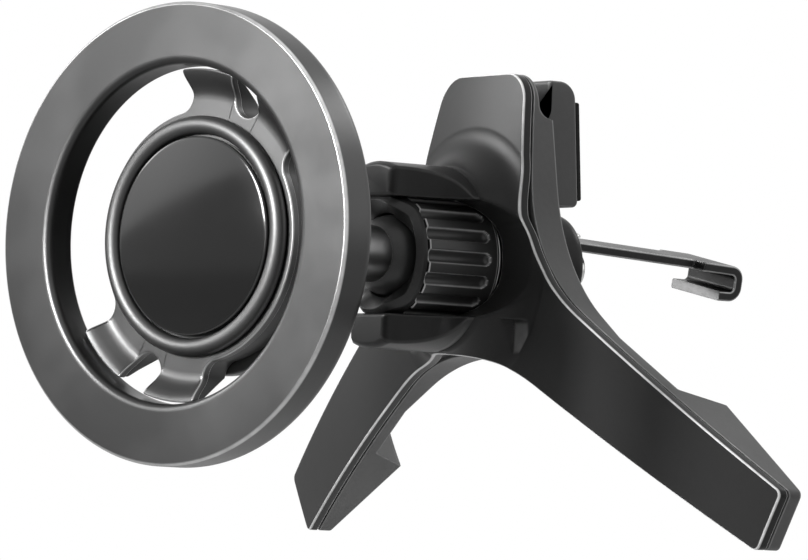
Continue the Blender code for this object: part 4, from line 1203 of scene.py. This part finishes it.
    def screw(self, angle: float) -> Sheet:
        """Turn a screw and press a cross into its head: two crossed slots that fade at their ends."""
        head_r, head, seat, tip = self.screw_head_r, self.screw_head, self.screw_seat, self.screw_tip
        face = [(radius, head) for radius in np.linspace(0.0, head_r - 0.25, 18)]
        shank = [(head_r, head, 0.25), (head_r, seat, 0.1), (self.screw_shank_r, seat),
                 (self.screw_shank_r, tip - 0.5, 0.2), (0.0, tip)]
        sheet = lathe(face + shank, 72, False)
        x, y = np.abs(sheet.points[..., 0]), np.abs(sheet.points[..., 1])
        half, run = self.cross_half, self.cross_run
        slot = np.minimum(np.maximum(x - half, y - run), np.maximum(y - half, x - run))
        recess = (1.0 - smooth_step(slot, -0.1, 0.1)) * (sheet.points[..., 2] < head + 0.05)
        sheet.points[..., 2] += self.cross_depth * recess
        sheet.points[..., 0] += self.screw_circle * math.cos(angle)
        sheet.points[..., 1] += self.screw_circle * math.sin(angle)
        return sheet


@dataclass
class WheelAndHook:
    """The drive: fluted thumbwheel, washer, guide boss, threaded rod, hook strip and rivet."""

    wheel_r: float = 7.8
    wheel_back: float = 14.555
    wheel_front: float = 25.255
    flutes: int = 16
    flute_r: float = 0.9
    flute_depth: float = 0.75
    flute_stop: float = 1.2
    # Width of the painted highlight along a groove's edge, in millimetres.
    crest: float = 0.4
    hollow_r: float = 6.9
    hollow_back: float = 19.155
    sleeve_r: float = 4.2
    sleeve_back: float = 8.9
    bore_r: float = 2.3
    rod_r: float = 2.0
    rod_front: float = 11.155
    rod_tail_r: float = 2.6
    rod_tail_back: float = -3.0
    hook_start: float = 0.4
    thickness: float = 1.3
    bar_half: float = 3.5
    end_half: float = 5.5
    end_run: float = 6.8
    reach: float = 26.6
    slope: float = math.radians(3.2)
    height: float = 4.7
    lip: float = 3.6
    bend_r: float = 1.25
    gap: float = 0.3
    washer_r: float = 7.5
    washer_bore_r: float = 4.6
    washer_front: float = 14.255
    washer_back: float = 13.455
    boss_r: float = 7.1
    boss_bore_r: float = 5.7
    boss_front: float = 8.3
    thread_lead: float = 3.0
    thread_starts: int = 2
    thread_depth: float = 0.22
    thread_fade: float = 0.5
    thread_margin: float = 0.4
    rivet_head_r: float = 1.5
    rivet_r: float = 0.8
    rivet_foot: float = 0.8
    rivet_dome: float = 0.5
    strip_round: float = 0.28

    def build(self, shop: Workshop) -> None:
        """Make every piece of the drive."""
        for name, sheet, body, slot, node in (
                ("wheel_fluted", self.wheel(), Body.WHEEL, "wheel_black", "thumbwheel"),
                ("washer_flat", self.washer(), Body.BASE, "bright_steel", "thrust_washer"),
                ("guide_boss", self.boss(), Body.BASE, "shell_black", "hook_guide")):
            shop.piece(name, sheet, BODY_AXIS, body, slot, node, closed=True)
        shop.piece("rod_threaded", self.rod(), BODY_AXIS, Body.HOOK, "bright_steel", "hook_rod")
        shop.piece("hook_strip", self.strip(), HOOK_AXIS, Body.HOOK, "hook_grey", "hook", ends=True)
        shop.piece("rivet_domed", self.rivet(), HOOK_AXIS, Body.HOOK, "bright_steel", "hook_rivet")

    def wheel(self) -> Sheet:
        """Turn the wheel and press its flutes: round grooves along its length with a round rear end.

        A groove is a cylinder about an axis near the rim; at an angle off its axis the surface lies
        where the ray meets that cylinder, and near its rear end the cylinder closes as a sphere.
        """
        front, back = self.wheel_front, self.wheel_back
        stations = np.concatenate((np.linspace(front - 0.5, back + 3.2, 6),
                                   np.linspace(back + 3.0, back + 1.0, 15)))
        profile = [(self.hollow_r, front - 0.3, 0.1)]
        profile += [(radius, front) for radius in np.linspace(self.hollow_r + 0.05, self.wheel_r - 0.3, 4)]
        profile += [(self.wheel_r, front, 0.28)] + [(self.wheel_r, station) for station in stations]
        profile += [(self.wheel_r, back, 0.3), (self.sleeve_r, back, 0.1),
                    (self.sleeve_r, self.sleeve_back, 0.3), (self.bore_r, self.sleeve_back, 0.3),
                    (self.bore_r, self.hollow_back), (self.hollow_r, self.hollow_back)]
        sheet = lathe(profile, self.flutes * 36, True)
        x, y, forward = np.moveaxis(sheet.points, -1, 0)
        radius, angle = np.hypot(x, y), np.arctan2(y, x)
        pitch = 2.0 * math.pi / self.flutes
        off = (angle + pitch / 2.0) % pitch - pitch / 2.0
        centre = self.wheel_r + self.flute_r - self.flute_depth
        end = self.wheel_back + self.flute_stop + self.flute_r
        reach = np.sqrt(np.clip(self.flute_r ** 2 - np.clip(end - forward, 0.0, None) ** 2, 0.0, None))
        chord = np.sqrt(np.clip(reach ** 2 - (centre * np.sin(off)) ** 2, 0.0, None))
        groove = np.where(chord > 0.0, centre * np.cos(off) - chord, self.wheel_r + 1.0)
        cut = smooth_min(radius, groove, 0.16)
        # The groove edges get the edge mark, which paints bright highlight lines along the flutes.
        crest = np.clip(1.0 - np.abs(groove - radius) / self.crest, 0.0, 1.0)
        on_rim = (radius > self.hollow_r + 0.4) & (chord > 0.0)
        sheet.points[..., :2] *= (np.minimum(cut, radius) / radius)[..., None]
        sheet.edge = np.maximum(sheet.edge, crest * on_rim)
        return sheet

    def washer(self) -> Sheet:
        """Turn the thrust washer."""
        corners = ((self.washer_r, self.washer_front), (self.washer_r, self.washer_back),
                   (self.washer_bore_r, self.washer_back), (self.washer_bore_r, self.washer_front))
        return lathe([(*corner, 0.12) for corner in corners], 96, True)

    def boss(self) -> Sheet:
        """Turn the guide boss: a tube with a well rounded rear edge and a chamfered mouth."""
        back = self.hook_start
        return lathe([(self.boss_bore_r, self.boss_front), (self.boss_r, self.boss_front, 0.1),
                      (self.boss_r, back, 1.3), (self.boss_bore_r, back, 0.35)], 128, True)

    def rod(self) -> Sheet:
        """Turn the rod with a double thread: its radius follows a wave of station and angle."""
        start = self.hook_start + self.thread_margin
        stations = np.linspace(self.rod_front - 0.3, start, 90)
        profile = [(0.0, self.rod_front), (self.rod_r - 0.3, self.rod_front, 0.05)]
        profile += [(self.rod_r, station) for station in stations]
        profile += [(self.rod_r, self.hook_start), (self.rod_tail_r, self.hook_start, 0.2),
                    (self.rod_tail_r, self.rod_tail_back, 0.5), (0.0, self.rod_tail_back)]
        sheet = lathe(profile, 48, False)
        x, y, forward = np.moveaxis(sheet.points, -1, 0)
        turns = 2.0 * math.pi * forward / self.thread_lead - np.arctan2(y, x)
        wave = 0.5 - 0.5 * np.cos(self.thread_starts * turns)
        zone = smooth_step(forward, start, start + self.thread_fade)
        sheet.points[..., :2] *= (1.0 - self.thread_depth * wave * zone / self.rod_r)[..., None]
        return sheet

    def path(self) -> tuple:
        """Return the strip's middle line in (forward, up), and its directions, from the rod to the lip."""
        under = self.rod_tail_r + self.gap
        middle = self.thickness / 2.0
        fall = math.tan(self.slope)
        back = middle - self.reach
        end = under + self.thickness - fall * (self.hook_start + self.reach)
        start_up = under + middle
        corner_up = start_up - fall * (self.hook_start - back)
        low = end - self.height + middle
        corners = [(self.hook_start, start_up, 0.0), (back, corner_up, self.bend_r), (back, low, self.bend_r),
                   (self.lip - self.reach, low, 0.0)]
        line = rounded(corners, 16)
        along = np.concatenate(([0.0], np.cumsum(np.linalg.norm(np.diff(line, axis=0), axis=1))))
        places = np.linspace(0.0, along[-1], 260)
        points = np.stack([np.interp(places, along, line[:, axis]) for axis in (0, 1)], axis=-1)
        tangent = np.gradient(points, axis=0)
        return points, tangent / np.linalg.norm(tangent, axis=1, keepdims=True)

    def strip(self) -> Sheet:
        """Sweep the hook: a flat section with deburred edges along the line, widened at its end."""
        points, tangent = self.path()
        normal = np.stack((tangent[:, 1], -tangent[:, 0]), axis=-1)
        middle = np.arange(len(points)) > np.argmin(points[:, 0])
        step = self.end_run - self.reach
        wide = np.where(middle, 1.0, smooth_step(-points[:, 0], -step - 0.35, -step + 0.35))
        half = self.bar_half + (self.end_half - self.bar_half) * wide

        def row(side: float, face: float) -> np.ndarray:
            """Return one corner of the section along the whole line."""
            place = points + face * self.thickness / 2.0 * normal
            return np.stack((side * half, place[:, 1], place[:, 0]), axis=-1)

        corners = ((-1.0, -1.0), (1.0, -1.0), (1.0, 1.0), (-1.0, 1.0))
        return loft([Station(row(*corner), self.strip_round) for corner in corners], True).turned()

    def rivet(self) -> Sheet:
        """Turn the rivet with a domed head, and stand it upright through the strip and the rod's tail."""
        seat = self.rod_tail_r + self.gap + self.thickness + self.gap
        head_r, shank_r = self.rivet_head_r, self.rivet_r
        head = [(head_r * math.sin(turn), seat + 0.1 + self.rivet_dome * math.cos(turn))
                for turn in np.linspace(0.0, math.pi / 2, 12)]
        shank = [(head_r, seat, 0.05), (shank_r, seat), (shank_r, self.rivet_foot), (0.0, self.rivet_foot)]
        sheet = lathe(head + shank, 48, False)
        station = (self.hook_start + self.rod_tail_back) / 2.0
        x, y, upright = np.moveaxis(sheet.points, -1, 0)
        sheet.points = np.stack((x, upright, station - y), axis=-1)
        return sheet


def facing(back: np.ndarray, place: Sequence[float], turn: float) -> list:
    """Return the matrix of a camera or lamp.

    Args:
        back: the direction it faces away from.
        place: where it stands.
        turn: its turn about that direction from level, in radians.

    Returns:
        The matrix in the order that Blender takes it.
    """
    back = back / np.linalg.norm(back)
    level = np.cross((0.0, 0.0, 1.0), back)
    level /= np.linalg.norm(level)
    right = math.cos(turn) * level + math.sin(turn) * np.cross(back, level)
    matrix = np.eye(4)
    matrix[:3] = np.column_stack((right, np.cross(back, right), back, place))
    return matrix.T.tolist()


@dataclass(frozen=True)
class Lamp:
    """A rectangular softbox with a grid.

    Attributes:
        name: the lamp's name.
        place: where it hangs.
        aim: the point it faces.
        size: its width and height.
        power: its power in watts.
        turn: its turn about its own axis, in degrees.
        cone: the angle that its grid lets light through, in degrees.
    """

    name: str
    place: tuple
    aim: tuple
    size: tuple
    power: float
    turn: float = 0.0
    cone: float = 180.0

    def hang(self) -> None:
        """Make the lamp."""
        light = bpy.data.lights.new(self.name, "AREA")
        light.shape = "RECTANGLE"
        light.size, light.size_y = self.size
        light.energy = self.power
        light.spread = math.radians(self.cone)
        lamp = bpy.data.objects.new(self.name, light)
        lamp.matrix_world = facing(np.subtract(self.place, self.aim), self.place, math.radians(self.turn))
        bpy.context.scene.collection.objects.link(lamp)


HEAD_MIDDLE = (0.012, -0.067, 0.0)
BODY_MIDDLE = (0.0, -0.02, 0.0)
LAMPS = (
    Lamp("key_softbox", (-0.308, -0.292, 0.169), (0.0, -0.015, 0.015), (0.16, 0.14), 0.04, cone=28.0),
    Lamp("dome_window", (-0.272, -0.503, 0.17), HEAD_MIDDLE, (0.5, 0.2), 0.16, 21.0, 64.0),
    Lamp("ring_glow", (0.018, -0.259, 0.055), (0.016, -0.065, 0.006), (0.06, 0.06), 0.07, cone=34.0),
    Lamp("roll_glint", (0.16, -0.384, 0.026), HEAD_MIDDLE, (0.14, 0.1), 0.02, cone=36.0),
    Lamp("stem_glint", (0.0, 0.35, 0.3), (0.0, -0.03, 0.0), (0.2, 0.1), 0.3),
    Lamp("fill_high", (0.35, -0.15, 0.55), BODY_MIDDLE, (0.6, 0.6), 0.6),
    Lamp("rim_right", (0.3, 0.35, 0.2), BODY_MIDDLE, (0.35, 0.35), 0.3),
)


@dataclass
class Studio:
    """Camera, floor, world and lamps."""

    azimuth: float = math.radians(56.6)
    elevation: float = math.radians(-2.47)
    roll: float = math.radians(2.65)
    distance: float = 0.82208
    focal_pixels: float = 5994.25
    sensor_width: float = 36.0
    target: tuple = (-0.0364, 0.0, -0.00113)
    floor_level: float = -0.06
    floor_half: float = 1.5
    floor_grey: float = 0.86
    light_level: float = 0.42

    def build(self) -> None:
        """Set up the whole studio."""
        scene = bpy.context.scene
        scene.view_settings.view_transform = "Standard"
        self.camera(scene)
        self.floor(scene)
        self.world(scene)
        for lamp in LAMPS:
            lamp.hang()

    def camera(self, scene: bpy.types.Scene) -> None:
        """Set the photograph's camera: it looks at the target from an azimuth and elevation, with a roll."""
        out = math.cos(self.elevation)
        back = np.array((math.sin(self.azimuth) * out, -math.cos(self.azimuth) * out,
                         math.sin(self.elevation)))
        lens = bpy.data.cameras.new("photo_camera")
        lens.sensor_fit = "HORIZONTAL"
        lens.sensor_width = self.sensor_width
        lens.lens = self.focal_pixels / IMAGE_WIDTH * self.sensor_width
        lens.clip_end = 50.0
        camera = bpy.data.objects.new("photo_camera", lens)
        camera.matrix_world = facing(back, np.array(self.target) + self.distance * back, self.roll)
        scene.collection.objects.link(camera)
        scene.camera = camera

    def floor(self, scene: bpy.types.Scene) -> None:
        """Lay the pale floor, which is clear from below so that low views aren't hidden by it."""
        corners = [(self.floor_half * x, self.floor_half * y, self.floor_level)
                   for x, y in ((-1.0, -1.0), (1.0, -1.0), (1.0, 1.0), (-1.0, 1.0))]
        mesh = bpy.data.meshes.new("studio_floor")
        mesh.from_pydata(corners, [], [(0, 1, 2, 3)])
        material = bpy.data.materials.new("floor_pale")
        material.use_nodes = True
        shader = material.node_tree.nodes["Principled BSDF"]
        shader.inputs["Base Color"].default_value = (*grey(self.floor_grey), 1.0)
        shader.inputs["Roughness"].default_value = 0.9
        bench = NodeBench(material.node_tree)
        side = bench.add("ShaderNodeMixShader")
        bench.link(bench.add("ShaderNodeNewGeometry").outputs["Backfacing"], side.inputs[0])
        bench.link(shader.outputs[0], side.inputs[1])
        bench.link(bench.add("ShaderNodeBsdfTransparent").outputs[0], side.inputs[2])
        bench.link(side.outputs[0], material.node_tree.nodes["Material Output"].inputs["Surface"])
        mesh.materials.append(material)
        made = bpy.data.objects.new("studio_floor", mesh)
        scene.collection.objects.link(made)

    def world(self, scene: bpy.types.Scene) -> None:
        """Set a white world for what is seen and reflected, and a soft level for the light it gives."""
        world = bpy.data.worlds.new("studio_world")
        world.use_nodes = True
        scene.world = world
        bench = NodeBench(world.node_tree)
        path = bench.add("ShaderNodeLightPath").outputs
        mirrored = bench.math("MAXIMUM", path["Is Glossy Ray"], path["Is Transmission Ray"])
        level = bench.add("ShaderNodeMapRange", To_Min=self.light_level, To_Max=1.0)
        bench.link(bench.math("MAXIMUM", path["Is Camera Ray"], mirrored), level.inputs["Value"])
        back = world.node_tree.nodes["Background"]
        back.inputs["Color"].default_value = (*grey(1.0), 1.0)
        bench.link(level.outputs["Result"], back.inputs["Strength"])


def main() -> None:
    """Load the frame, build each sub-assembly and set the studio."""
    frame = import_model()
    shop = Workshop(frame["nodes"])
    shape = BodyShape()
    for assembly in (RingHead(), StemAndBall(), FrontCover(shape), RearShell(shape), WheelAndHook()):
        LOG.info("building %s", type(assembly).__name__)
        assembly.build(shop)
    Studio().build()
    bpy.context.view_layer.update()


if __name__ == "__main__":
    logging.basicConfig(level=logging.INFO, format="%(message)s")
    main()
